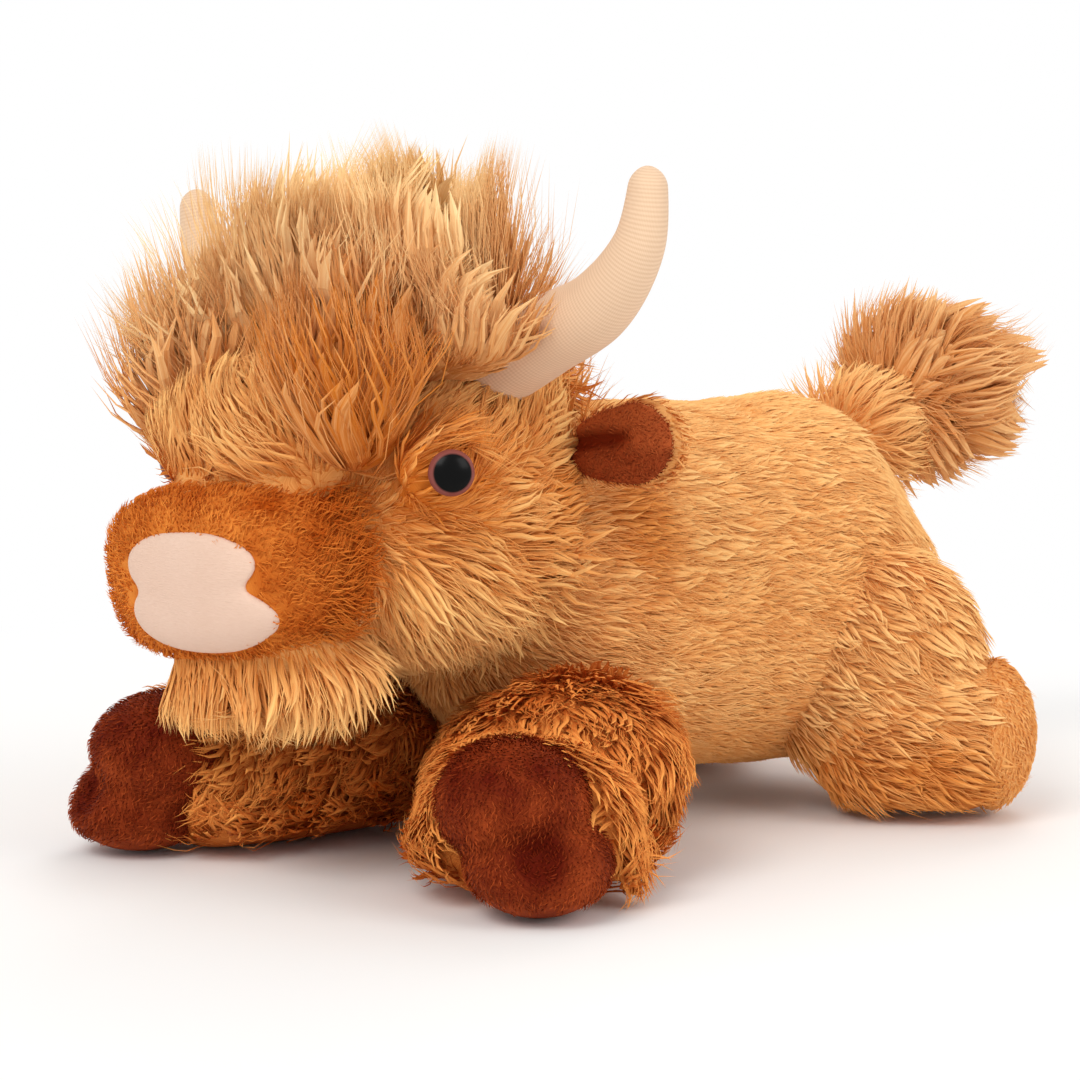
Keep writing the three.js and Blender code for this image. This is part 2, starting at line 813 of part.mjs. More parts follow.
// The two toes of a front hoof, one above the other
function toes(pose, inset = 0) {
  const upper = point(hoof.tip - hoof.length / 2, 0, hoof.height);
  const lower = point(hoof.lowerTip - hoof.lowerLength / 2, 0, hoof.lowerHalfHeight - floorPress);
  const upperRadii = point(hoof.length / 2, hoof.halfWidth, hoof.halfHeight);
  const lowerRadii = point(hoof.lowerLength / 2, hoof.lowerHalfWidth, hoof.lowerHalfHeight);
  return join(solid(swelling(upper, upperRadii, inset), pose), solid(swelling(lower, lowerRadii, inset), pose));
}

function makeFrontLeg(side) {
  const { pose, trunkSwung, behind } = legRoom(frontLeg, side);
  const leg = (inset, facets) => legSolid(frontLeg, frontLegShares, pose, inset, facets);
  const inner = fabric + gap;
  const hoofRoom = cut(toes(pose, -gap), behind(hoof.seam - gap));
  return {
    cover: cut(leg(0), leg(fabric, coarse), toes(pose, -gap), trunkSwung, floor),
    stuffing: cut(join(cut(leg(inner, coarse), hoofRoom), toes(pose, inner)), trunkSwung),
    end: cut(toes(pose), toes(pose, fabric), behind(hoof.seam), floor),
  };
}

function makeRearLeg(side) {
  const { pose, trunkSwung, behind } = legRoom(rearLeg, side);
  const leg = (inset, facets) => legSolid(rearLeg, rearLegShares, pose, inset, facets);
  const seam = rearLeg.length - rearLeg.inside - rearLeg.sole;
  const shell = cut(leg(0), leg(fabric, coarse), floor);
  return {
    cover: cut(shell.intersect(behind(seam - gap)), trunkSwung),
    stuffing: cut(leg(fabric + gap, coarse), trunkSwung),
    end: cut(shell, behind(seam)),
  };
}

function makeLegs(makeLeg, row, endName, endFinish) {
  const asModelled = (body) => body;
  return ["left", "right"].flatMap((side) => {
    const onSide = side === "left" ? asModelled : mirrored;
    const { cover, stuffing, end } = makeLeg(side);
    return [
      piece(`${row}_leg_cover_${side}`, onSide(cover), finish.legFur),
      piece(`${row}_leg_stuffing_${side}`, onSide(stuffing), finish.stuffing),
      piece(`${endName}_${side}`, onSide(end), endFinish),
    ];
  });
}

const group = new THREE.Group();
group.add(makeTrunk(), makeHead(), makeTail());
group.add(...makeLegs(makeFrontLeg, "front", "front_hoof", finish.brownPile));
group.add(...makeLegs(makeRearLeg, "rear", "rear_sole", finish.goldenFur));

// The origin goes under the middle of the toy, on the floor
const bounds = new THREE.Box3().setFromObject(group);
group.position.set(-(bounds.min.x + bounds.max.x) / 2, -(bounds.min.y + bounds.max.y) / 2, -bounds.min.z);

export default group;
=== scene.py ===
# A long-haired plush cow lying on its belly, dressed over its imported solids.
# Metres, +Z up. The cow looks along -Y and its left side is +X.

import math
from types import SimpleNamespace

import bmesh
import bpy
import numpy as np
from mathutils import Matrix, Vector, noise
from mathutils.bvhtree import BVHTree


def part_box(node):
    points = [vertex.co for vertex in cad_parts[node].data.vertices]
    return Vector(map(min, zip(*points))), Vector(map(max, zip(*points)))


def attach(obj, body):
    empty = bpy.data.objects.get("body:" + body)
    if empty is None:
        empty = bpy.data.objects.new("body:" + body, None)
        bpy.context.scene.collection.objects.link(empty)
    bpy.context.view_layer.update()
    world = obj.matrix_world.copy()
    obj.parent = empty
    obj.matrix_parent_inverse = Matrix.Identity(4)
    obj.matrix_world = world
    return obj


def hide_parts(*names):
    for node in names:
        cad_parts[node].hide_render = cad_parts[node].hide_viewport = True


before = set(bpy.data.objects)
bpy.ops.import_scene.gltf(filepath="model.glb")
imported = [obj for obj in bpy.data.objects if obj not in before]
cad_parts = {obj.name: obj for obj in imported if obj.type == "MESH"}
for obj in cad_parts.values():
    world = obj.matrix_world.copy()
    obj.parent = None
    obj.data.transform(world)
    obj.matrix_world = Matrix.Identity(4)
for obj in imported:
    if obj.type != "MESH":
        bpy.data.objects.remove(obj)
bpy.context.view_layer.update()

MM = 0.001
SIDES = {"left": 1, "right": -1}

# Places of the sewn parts, in millimetres, as the solids have them

STUFFING_INSET = 2.5  # of a stuffing's surface inside the cover's
CHEST_AHEAD = 52  # of the modelling origin
NECK = SimpleNamespace(ahead=42, height=100, yaw=2, roll=2.5)
MUZZLE = SimpleNamespace(
    root=52, length=56, root_height=1, tip_height=-8, half_width=44, rise=30, drop=25, roll=3,
)
NOSE_PAD = SimpleNamespace(half_width=32, half_height=18.4, aside=10, lift=0.1, thickness=2.2)
HORN = SimpleNamespace(side=47, root=56, ahead=10, reach=65, height=59, radius=13.5)
EAR = SimpleNamespace(side=50, root=29, back=13, length=41, sweep=8, climb=4, half_height=14.5)
EYE = SimpleNamespace(ahead=53, height=27, radius=7, bulge=3.6, proud=4.5, turned=0.4)
FORELOCK = SimpleNamespace(ahead=45, lean=20, foot=38, height=90, half_width=92, half_depth=45)
TAIL = SimpleNamespace(root=138, height=121, tuft=22)
FRONT_LEG = SimpleNamespace(
    side=42, place={"left": -36, "right": -50}, splay={"left": 47, "right": 7}, seam=58,
    inside=38, reach=72, end_height=25, half_width=34, rise=26, drop=30.5, domes=(30, 16),
    shares=((0.95, 0.96, 1), (1, 1, 1), (0.93, 0.94, 0.9)), swelling=((18, 12, 36), (34, 34, 28)),
)
HOOF = SimpleNamespace(
    upper=(67, -4, 33), upper_radii=(25, 23, 19), lower=(72, 4, 16), lower_radii=(25, 22, 16),
)
REAR_LEG = SimpleNamespace(
    side=46, place={"left": 98, "right": 98}, splay={"left": 132, "right": 132}, seam=51,
    inside=14, reach=61, end_height=28, half_width=32, rise=29, drop=30.5, domes=(26, 22),
    shares=((0.95, 0.98, 1), (1, 1, 1), (0.9, 0.92, 0.94)), swelling=((8, 0, 50), (41, 29, 43)),
)

# The modelling origin and the frames of the head and legs, in metres


def modelling_origin():
    low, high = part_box("body_stuffing")
    return Vector(((low.x + high.x) / 2, low.y + (CHEST_AHEAD - STUFFING_INSET) * MM, 0))


def frame_at(place, *turns):
    """A frame in metres whose points are written in millimetres from a place on the toy."""
    made = Matrix.Translation(MIDDLE + Vector(place) * MM)
    for degrees, axis in turns:
        made @= Matrix.Rotation(math.radians(degrees), 4, axis)
    return made @ Matrix.Scale(MM, 4)


MIDDLE = modelling_origin()
TOY = frame_at((0, 0, 0))
HEAD = frame_at((0, -NECK.ahead, NECK.height), (NECK.yaw, "Z"), (-NECK.roll, "Y"))
MUZZLE_FRAME = HEAD @ Matrix.Rotation(math.radians(-MUZZLE.roll), 4, "Y")
TAIL_FRAME = frame_at((0, TAIL.root, TAIL.height))


def leg_frame(leg, side):
    """Its X runs along the leg and its Z is up; a right leg's frame is mirrored."""
    left = Matrix.Translation(Vector((leg.side, leg.place[side], 0)))
    left @= Matrix.Rotation(math.radians(leg.splay[side] - 90), 4, "Z")
    mirror = Matrix.Scale(SIDES[side], 4, (1, 0, 0))
    return TOY @ mirror @ left


# Camera, floor and light


def added(name, data):
    """A new object of the scene, with its data."""
    made = bpy.data.objects.new(name, data)
    bpy.context.scene.collection.objects.link(made)
    return made


CAMERA = SimpleNamespace(aim_height=96, azimuth=50, elevation=7, distance=1.1, width=0.356)
LAMP_AIM_HEIGHT = 90


def make_camera():
    """Aims at the toy from its left front, far enough to see a strip as wide as the camera's width there."""
    target = MIDDLE + Vector((0, 0, CAMERA.aim_height * MM))
    azimuth, elevation = math.radians(CAMERA.azimuth), math.radians(CAMERA.elevation)
    back = Vector((
        math.sin(azimuth) * math.cos(elevation),
        -math.cos(azimuth) * math.cos(elevation),
        math.sin(elevation),
    ))
    data = bpy.data.cameras.new("camera")
    data.lens = data.sensor_width * CAMERA.distance / CAMERA.width
    data.clip_start, data.clip_end = 0.05, 20
    camera = added("camera", data)
    camera.location = target + back * CAMERA.distance
    camera.rotation_euler = (-back).to_track_quat("-Z", "Y").to_euler()
    bpy.context.scene.camera = camera


def white_to_camera(tree, plain, out, seen_white):
    """Rays from the camera and through gloss or glass see plain white, and the rest see the plain shader."""
    rays = tree.nodes.new("ShaderNodeLightPath").outputs
    seen = combine(tree, "MAXIMUM", rays["Is Camera Ray"], rays["Is Glossy Ray"])
    seen = combine(tree, "MAXIMUM", seen, rays["Is Transmission Ray"])
    mix = tree.nodes.new("ShaderNodeMixShader")
    for socket, value in zip(mix.inputs, (seen, plain, seen_white)):
        feed(tree, socket, value)
    tree.links.new(mix.outputs[0], out)


def make_world():
    world = bpy.data.worlds.new("studio")
    world.use_nodes = True
    tree = world.node_tree
    soft = tree.nodes["Background"]
    soft.inputs["Color"].default_value = (1, 0.985, 0.965, 1)
    soft.inputs["Strength"].default_value = 0.62
    white = tree.nodes.new("ShaderNodeBackground")
    white.inputs["Color"].default_value = (1, 1, 1, 1)
    white_to_camera(tree, soft.outputs[0], tree.nodes["World Output"].inputs["Surface"], white.outputs[0])
    bpy.context.scene.world = world


def make_floor():
    """A pale floor that fades to white away from the toy."""
    reach = 6
    ends = [(-reach, -reach, 0), (reach, -reach, 0), (reach, reach, 0), (-reach, reach, 0)]
    mesh = bpy.data.meshes.new("floor")
    mesh.from_pydata(ends, [], [(0, 1, 2, 3)])
    floor = added("floor", mesh)
    floor.location.z = -0.3 * MM
    material = bpy.data.materials.new("floor white")
    material.use_nodes = True
    tree = material.node_tree
    plain = tree.nodes["Principled BSDF"]
    plain.inputs["Base Color"].default_value = (0.93, 0.93, 0.93, 1)
    plain.inputs["Roughness"].default_value = 0.9
    white = tree.nodes.new("ShaderNodeEmission")
    fade = tree.nodes.new("ShaderNodeMixShader")
    where = add_node(tree, "ShaderNodeTexCoord", output="Object")
    faded = ramp_between(tree, combine(tree, "LENGTH", where), 0.2, 0.5)
    for socket, value in zip(fade.inputs, (faded, plain.outputs[0], white.outputs[0])):
        feed(tree, socket, value)
    white_to_camera(tree, plain.outputs[0], tree.nodes["Material Output"].inputs["Surface"], fade.outputs[0])
    mesh.materials.append(material)


def make_lamp(name, place, size, power, colour=(1, 1, 1)):
    data = bpy.data.lights.new(name, "AREA")
    data.size, data.energy, data.color = size, power, colour
    lamp = added(name, data)
    lamp.location = place
    aim = MIDDLE + Vector((0, 0, LAMP_AIM_HEIGHT * MM)) - Vector(place)
    lamp.rotation_euler = aim.to_track_quat("-Z", "Y").to_euler()


def make_studio():
    bpy.context.scene.view_settings.view_transform = "Standard"
    make_camera()
    make_world()
    make_floor()
    make_lamp("key lamp", (0.5, -1.5, 1.5), 1.1, 20, (1, 0.98, 0.95))
    make_lamp("side lamp", (1.9, 0.5, 1.2), 1.2, 14, (1, 0.98, 0.95))
    make_lamp("back lamp", (-1.0, 1.3, 1.6), 1.2, 12)


# Node trees


class Flow:
    """A number or vector that flows through a node tree. Arithmetic on flows adds the nodes for it."""

    def __init__(self, tree, socket):
        self.tree = tree
        self.socket = socket

    def __add__(self, other):
        return combine(self.tree, "ADD", self, other)

    def __sub__(self, other):
        return combine(self.tree, "SUBTRACT", self, other)

    def __mul__(self, other):
        return combine(self.tree, "MULTIPLY", self, other)

    def __pow__(self, power):
        return combine(self.tree, "POWER", self, power)

    def flipped(self):
        """One less this number."""
        return combine(self.tree, "SUBTRACT", 1.0, self)

    def dot(self, other):
        return combine(self.tree, "DOT_PRODUCT", self, other)

    def cross(self, other):
        return combine(self.tree, "CROSS_PRODUCT", self, other)

    def unit(self):
        return combine(self.tree, "NORMALIZE", self)

    def clamped(self):
        return combine(self.tree, "MINIMUM", combine(self.tree, "MAXIMUM", self, 0.0), 1.0)


def feed(tree, socket, value):
    if isinstance(value, Flow):
        tree.links.new(value.socket, socket)
    elif isinstance(value, bpy.types.NodeSocket):
        tree.links.new(value, socket)
    else:
        socket.default_value = value


def is_vector(value):
    if isinstance(value, Flow):
        return value.socket.type == "VECTOR"
    return isinstance(value, (tuple, Vector))


def combine(tree, operation, first, second=None):
    vectors = [is_vector(value) for value in (first, second)]
    scaled = operation == "MULTIPLY" and vectors[0] != vectors[1]
    node = tree.nodes.new("ShaderNodeVectorMath" if any(vectors) else "ShaderNodeMath")
    node.operation = "SCALE" if scaled else operation
    if scaled and vectors[1]:
        first, second = second, first
    feed(tree, node.inputs[0], first)
    if second is not None:
        feed(tree, node.inputs["Scale"] if scaled else node.inputs[1], second)
    single = operation in ("DOT_PRODUCT", "LENGTH") or not any(vectors)
    return Flow(tree, node.outputs["Value" if single else "Vector"])


def add_node(tree, kind, inputs=None, output=None, **settings):
    """A node with its settings and inputs, as the flow of one of its outputs."""
    node = tree.nodes.new(kind)
    for name, value in settings.items():
        setattr(node, name, value)
    for name, value in (inputs or {}).items():
        feed(tree, next(socket for socket in node.inputs if socket.name == name and socket.enabled), value)
    enabled = [socket for socket in node.outputs if socket.enabled]
    chosen = next(socket for socket in enabled if output in (None, socket.name))
    return Flow(tree, chosen)


def new_group(name, kind, inputs, outputs):
    """A node group with named sockets, and the flows of its inputs."""
    tree = bpy.data.node_groups.new(name, kind)
    for direction, sockets in (("INPUT", inputs), ("OUTPUT", outputs)):
        for title, (holds, value) in sockets.items():
            socket = tree.interface.new_socket(name=title, in_out=direction, socket_type=f"NodeSocket{holds}")
            if value is not None:
                socket.default_value = value
    entry = tree.nodes.new("NodeGroupInput")
    exit_node = tree.nodes.new("NodeGroupOutput")
    return tree, {socket.name: Flow(tree, socket) for socket in entry.outputs if socket.name}, exit_node


def split_up(tree, vector):
    """The flows of a vector's three components."""
    node = tree.nodes.new("ShaderNodeSeparateXYZ")
    feed(tree, node.inputs[0], vector)
    return [Flow(tree, socket) for socket in node.outputs]


# Hair: tapered strands that leave a skin, bend over and gather in locks

HAIR_INPUTS = {
    "Skin": ("Geometry", None),
    "Spacing": ("Float", 1.8 * MM),
    "Width": ("Float", 1.0 * MM),
    "Thickness": ("Float", 0.35 * MM),
    "Lock spacing": ("Float", 6 * MM),
    "Gather": ("Float", 0.5),
    "Wave": ("Float", 0.1),
    "Stray": ("Float", 0.1),
    "Lock lean": ("Float", 0.2),
    "Reach": ("Float", 1.0),
    "Length scatter": ("Float", 0.3),
    "Tone scatter": ("Float", 0.2),
    "Fullness": ("Float", 1.3),
    "Follow": ("Float", 0.0),
    "Streak width": ("Float", 0.004),
    "Roundness": ("Float", 0.4),
    "Steps": ("Int", 3),
    "Seed": ("Int", 0),
    "Material": ("Material", None),
}
FLOOR_CLEARANCE = 0.3 * MM
FULL_TURN = 6.283  # in radians


def named(tree, name, kind="FLOAT"):
    return add_node(tree, "GeometryNodeInputNamedAttribute", {"Name": name}, data_type=kind)


def stored(tree, geometry, name, value, kind="FLOAT_VECTOR", domain="POINT"):
    inputs = {"Geometry": geometry, "Name": name, "Value": value}
    return add_node(tree, "GeometryNodeStoreNamedAttribute", inputs, data_type=kind, domain=domain)


def hair_roots(tree, given):
    """Points where strands start, each with its lock's own draws and its own."""
    def chance(seed_step, low=0.0, high=1.0, each=None):
        inputs = {"Min": low, "Max": high, "Seed": given["Seed"] + float(seed_step)}
        if each is not None:
            inputs["ID"] = each
        return add_node(tree, "FunctionNodeRandomValue", inputs, data_type="FLOAT")

    def scattered(spacing, factor, seed_step):
        inputs = {
            "Mesh": given["Skin"], "Distance Min": spacing, "Density Max": (spacing ** -2.0) * 1.6,
            "Density Factor": factor, "Seed": given["Seed"] + float(seed_step),
        }
        kind = "GeometryNodeDistributePointsOnFaces"
        return add_node(tree, kind, inputs, "Points", distribute_method="POISSON")

    here = add_node(tree, "GeometryNodeInputPosition")
    roots = scattered(given["Spacing"], named(tree, "thick"), 1)
    away = Flow(tree, roots.socket.node.outputs["Normal"])
    locks = scattered(given["Lock spacing"], 1.0, 2)
    nearest = add_node(tree, "GeometryNodeSampleNearest", {"Geometry": locks})
    lock_root = add_node(
        tree, "GeometryNodeSampleIndex", {"Geometry": locks, "Value": here, "Index": nearest},
        data_type="FLOAT_VECTOR",
    )
    points = roots
    for name, value in (("root", here), ("away", away), ("inward", lock_root - here)):
        points = stored(tree, points, name, value)
    for name, value in (
            ("lock", chance(3, each=nearest)), ("lean", chance(6, -1.0, 1.0, nearest)),
            ("luck", chance(4)), ("astray", chance(5, -1.0, 1.0))):
        points = stored(tree, points, name, value, "FLOAT")
    return points


def straight_strands(tree, given, points):
    """A thin cone at every point, which knows how far along itself and where round itself each corner is."""
    here = add_node(tree, "GeometryNodeInputPosition")
    inputs = {
        "Vertices": 3, "Side Segments": given["Steps"], "Radius Top": 0.0, "Radius Bottom": 1.0, "Depth": 1.0,
    }
    cone = add_node(tree, "GeometryNodeMeshCone", inputs, "Mesh", fill_type="NGON")
    strand = stored(tree, cone, "along", split_up(tree, here)[2], "FLOAT")
    strand = stored(tree, strand, "ring", here)
    strands = add_node(tree, "GeometryNodeInstanceOnPoints", {"Points": points, "Instance": strand})
    return add_node(tree, "GeometryNodeRealizeInstances", {"Geometry": strands})


def bent_strands(tree, given, strands):
    """Strands that leave the skin at their lift, bend over as they are combed, gather in locks and wave."""
    along, lock, luck, astray, lean = (
        named(tree, name) for name in ("along", "lock", "luck", "astray", "lean"))
    ring, up, comb, root, inward = (
        named(tree, name, "FLOAT_VECTOR") for name in ("ring", "away", "comb", "root", "inward"))
    way = (comb - up * comb.dot(up)).unit()
    across = up.cross(way)
    lift = named(tree, "lift") * (lean * given["Lock lean"] * 0.6 + 1.0)
    luckier = (luck - 0.5) * 0.5 + (lock - 0.5)
    length = named(tree, "length") * given["Reach"] * (luckier * given["Length scatter"] + 1.0)
    sideways = across * (astray * given["Stray"] + (lock - 0.5) * given["Lock lean"])
    start = (up * lift + way * lift.flipped() + sideways).unit()
    aimed = way * given["Follow"].flipped() + comb.unit() * given["Follow"]
    end = (up * (lift * 0.35) + aimed + sideways * 1.5).unit()
    late = along * along
    reach = start * (along - late * 0.5) + end * (late * 0.5)
    waving = along * length * given["Wave"]
    swing = combine(tree, "SINE", along * 5.0 + lock * FULL_TURN + luck * 2.0)
    bounce = combine(tree, "SINE", along * 7.0 + lock * 11.0)
    middle = (
        root + reach * length + inward * (late * given["Gather"])
        + across * (swing * waving) + up * (bounce * waving * 0.4)
    )
    direction = (start * along.flipped() + end * along).unit()
    over = direction.cross(across)
    ring_rise, ring_side, _ = split_up(tree, ring)
    full = along * (along + 1.0) * given["Fullness"] + 1.0
    thickness, width = full * given["Thickness"] * 0.5, full * given["Width"] * 0.5
    x, y, height = split_up(tree, middle + over * (ring_rise * thickness) - across * (ring_side * width))
    above_floor = combine(tree, "MAXIMUM", height, FLOOR_CLEARANCE)
    place = add_node(tree, "ShaderNodeCombineXYZ", {"X": x, "Y": y, "Z": above_floor})
    laid = add_node(tree, "GeometryNodeSetPosition", {"Geometry": strands, "Position": place})
    skyward = (up - direction * (up.dot(direction) * 0.7)).unit() + Vector((0, 0, 0.35))
    soft = (skyward + (over * ring_rise - across * ring_side) * given["Roundness"]).unit()
    inputs = {"Mesh": laid, "Custom Normal": soft}
    return add_node(tree, "GeometryNodeSetMeshNormal", inputs, mode="FREE", domain="POINT")


def toned_strands(tree, given, strands):
    """Strands with their tone, their map and their material."""
    along, lock, luck = (named(tree, name) for name in ("along", "lock", "luck"))
    ring_side = split_up(tree, named(tree, "ring", "FLOAT_VECTOR"))[1]
    tone = (named(tree, "tone") + (lock + luck - 1.0) * given["Tone scatter"]).clamped()
    tone = tone * 0.9 + 0.05 + ring_side * given["Streak width"]
    toned = stored(tree, strands, "tone", tone, "FLOAT")
    spot = add_node(tree, "ShaderNodeCombineXYZ", {"X": along * 0.98 + 0.01, "Y": tone})
    toned = stored(tree, toned, "OFBake", spot, "FLOAT2", "CORNER")
    return add_node(tree, "GeometryNodeSetMaterial", {"Geometry": toned, "Material": given["Material"]})


def hair_tree():
    outputs = {"Hair": ("Geometry", None)}
    tree, given, exit_node = new_group("lay hair", "GeometryNodeTree", HAIR_INPUTS, outputs)
    strands = straight_strands(tree, given, hair_roots(tree, given))
    feed(tree, exit_node.inputs["Hair"], toned_strands(tree, given, bent_strands(tree, given, strands)))
    return tree


HAIR_LEFTOVERS = (
    "root", "away", "inward", "lock", "lean", "luck", "astray", "ring", "comb", "length", "lift", "thick",
)


def evaluated_mesh(source, name):
    """The mesh that an object's modifiers make of it. The object goes."""
    made = bpy.data.meshes.new_from_object(source.evaluated_get(bpy.context.evaluated_depsgraph_get()))
    made.name = name
    bpy.data.objects.remove(source)
    return made


def apply_nodes(mesh, tree, name, values):
    """The mesh that a Geometry Nodes tree makes from a mesh, with no modifier left."""
    source = added(name, mesh)
    modifier = source.modifiers.new("grow", "NODES")
    modifier.node_group = tree
    by_name = {item.name: item.identifier for item in tree.interface.items_tree if item.in_out == "INPUT"}
    for title, value in values.items():
        modifier[by_name[title]] = value
    return evaluated_mesh(source, name)


def grow(name, skin, wear, seed, **coat):
    """A coat of hair on a combed skin, as a piece of its own."""
    body, slot, material = wear
    values = {"Seed": seed, "Material": material}
    lengths = {"spacing", "width", "thickness", "lock_spacing"}  # the other values are shares
    for key, value in coat.items():
        values[key.replace("_", " ").capitalize()] = value * MM if key in lengths else value
    mesh = apply_nodes(skin.data, HAIR_TREE, name, values)
    for leftover in HAIR_LEFTOVERS:
        if leftover in mesh.attributes:
            mesh.attributes.remove(mesh.attributes[leftover])
    return dress(mesh, name, body, slot)


def grow_layers(name, skin, wear, layers, **coat):
    """Layers of hair over one skin. A layer has its name, seed, kind of strand, spacing and steps."""
    for title, seed, strand, spacing, steps in layers:
        grow(f"{name} {title}", skin, wear, seed, spacing=spacing, steps=steps, **strand, **coat)


# Pieces and their meshes


def dress(mesh, name, body, slot, material=None, replaces=(), fill=None):
    """Makes a piece from a mesh, which rides on a body of the toy."""
    piece = added(name.replace(" ", "_"), mesh)
    if material:
        mesh.materials.clear()
        mesh.materials.append(material)
    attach(piece, body)
    if replaces:
        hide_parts(*replaces)
    return piece


def mesh_from(made, name):
    """The mesh of a bmesh that is ready, which is freed."""
    mesh = bpy.data.meshes.new(name)
    made.to_mesh(mesh)
    made.free()
    return mesh


def solid_mesh(name, nodes, extras=()):
    """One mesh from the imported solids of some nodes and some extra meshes, merged at their corners."""
    together = bmesh.new()
    for node in nodes:
        together.from_mesh(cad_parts[node].data)
    for extra in extras:
        together.from_mesh(extra)
    bmesh.ops.remove_doubles(together, verts=together.verts, dist=0.02 * MM)
    return mesh_from(together, name)


def finish_mesh(mesh, steps):
    """Applies modifiers, each given as its type and its settings, and returns the new mesh."""
    source = added(mesh.name, mesh)
    for kind, settings in steps:
        modifier = source.modifiers.new(kind.lower(), kind)
        for key, value in settings.items():
            setattr(modifier, key, value)
    return evaluated_mesh(source, mesh.name)


def remeshed(mesh, voxel, smoothing):
    return finish_mesh(mesh, [
        ("REMESH", {"mode": "VOXEL", "voxel_size": voxel * MM, "adaptivity": 0}),
        ("SMOOTH", {"factor": 0.5, "iterations": smoothing}),
    ])


def corners(mesh):
    places = np.empty(len(mesh.vertices) * 3)
    mesh.vertices.foreach_get("co", places)
    return places.reshape(-1, 3)


def put_corners(mesh, places):
    mesh.vertices.foreach_set("co", np.ascontiguousarray(places).ravel())
    mesh.update()


def corners_at(mesh, place):
    """A mesh's corners in a place's millimetres."""
    return (corners(mesh) - np.array(place.translation)) @ np.linalg.inv(np.array(place.to_3x3())).T


def reshape(mesh, place, change):
    """Lets a function move a mesh's corners, which it gets in a place's millimetres."""
    at = corners_at(mesh, place)
    change(at)
    put_corners(mesh, at @ np.array(place.to_3x3()).T + np.array(place.translation))


def normals(mesh):
    ways = np.empty(len(mesh.vertices) * 3)
    mesh.vertex_normals.foreach_get("vector", ways)
    return ways.reshape(-1, 3)


SIMULATED_STEPS = 20
MOST_SWELLING = 1.2  # millimetres that a point moves at most


def stuffed(mesh):
    """The mesh swollen as stuffed cloth is."""
    before = corners(mesh)
    cloth = added(mesh.name, mesh)
    scene = bpy.context.scene
    settings = cloth.modifiers.new("stuffing", "CLOTH").settings
    settings.quality = 4
    settings.mass = 0.25
    settings.tension_stiffness = settings.compression_stiffness = 12
    settings.bending_stiffness = 0.6
    settings.use_pressure = True
    settings.uniform_pressure_force = 4
    settings.effector_weights.gravity = 0
    cloth.modifiers["stuffing"].point_cache.frame_start = 1
    cloth.modifiers["stuffing"].point_cache.frame_end = SIMULATED_STEPS
    for step in range(1, SIMULATED_STEPS + 1):
        scene.frame_set(step)
    made = evaluated_mesh(cloth, mesh.name)
    scene.frame_set(1)
    moved = corners(made) - before
    far = np.linalg.norm(moved, axis=1, keepdims=True)
    put_corners(made, before + moved * np.minimum(1, MOST_SWELLING * MM / np.maximum(far, 1e-9)))
    return made


# Forms in mesh code


def along_rows(rows, shares):
    """Rows of numbers that are evenly spaced, read smoothly at some shares of the way."""
    rows = np.asarray(rows, float)
    place = np.clip(np.asarray(shares, float), 0, 1) * (len(rows) - 1)
    first = np.minimum(place.astype(int), len(rows) - 2)
    part = (place - first)[:, None]
    before, start = rows[np.maximum(first - 1, 0)], rows[first]
    end, after = rows[first + 1], rows[np.minimum(first + 2, len(rows) - 1)]
    bend = (2 * before - 5 * start + 4 * end - after) * part**2
    bend += (3 * start - before - 3 * end + after) * part**3
    return start + 0.5 * ((end - before) * part + bend)


def rounding(depth, dome, squareness):
    """How far a dome draws a section in, at a depth below its pole."""
    out = np.clip(1 - depth / dome, 0, 1)
    return (1 - out**squareness) ** (1 / squareness)


def form(name, place, axis, across, sections, domes, sides, rings, squareness=2.0):
    """A closed form round an axis, in a place's millimetres. Sections are half widths, rises and drops."""
    shares = (1 - np.cos(np.linspace(0, math.pi, rings + 1))) / 2
    centres = along_rows(axis, shares)
    ways = np.gradient(centres, axis=0)
    ways /= np.linalg.norm(ways, axis=-1, keepdims=True)
    across = np.array(across, float)
    ups = np.cross(across, ways)
    ups /= np.linalg.norm(ups, axis=1, keepdims=True)
    travel = np.concatenate([[0], np.cumsum(np.linalg.norm(np.diff(centres, axis=0), axis=1))])
    girths = along_rows(sections, shares)
    drawn = rounding(travel, domes[0], squareness) * rounding(travel[-1] - travel, domes[1], squareness)
    angles = np.arange(sides) * 2 * math.pi / sides
    side = np.sign(np.cos(angles)) * np.abs(np.cos(angles)) ** (2 / squareness)
    rise = np.sign(np.sin(angles)) * np.abs(np.sin(angles)) ** (2 / squareness)
    made = bmesh.new()
    uv = made.loops.layers.uv.new("OFBake")
    loops = []
    for ring in range(1, rings):
        wide, high, low = girths[ring] * drawn[ring]
        heights = np.where(rise > 0, rise * high, rise * low)
        spots = centres[ring] + np.outer(side * wide, across) + np.outer(heights, ups[ring])
        loops.append([made.verts.new(place @ Vector(spot)) for spot in spots])
    poles = [made.verts.new(place @ Vector(centres[index])) for index in (0, -1)]

    def face(verts, spots):
        for loop, spot in zip(made.faces.new(verts).loops, spots):
            loop[uv].uv = spot

    for index in range(sides):
        following = (index + 1) % sides
        left, right = index / sides, (index + 1) / sides
        for ring in range(len(loops) - 1):
            here, there = loops[ring], loops[ring + 1]
            low, high = shares[ring + 1], shares[ring + 2]
            face(
                (here[index], there[index], there[following], here[following]),
                ((left, low), (left, high), (right, high), (right, low)),
            )
        first, last = loops[0], loops[-1]
        face((poles[0], first[index], first[following]), ((left, 0), (left, shares[1]), (right, shares[1])))
        face((last[index], poles[1], last[following]), ((left, shares[-2]), (left, 1), (right, shares[-2])))
    bmesh.ops.recalc_face_normals(made, faces=made.faces)
    mesh = mesh_from(made, name)
    mesh.shade_smooth()
    return mesh


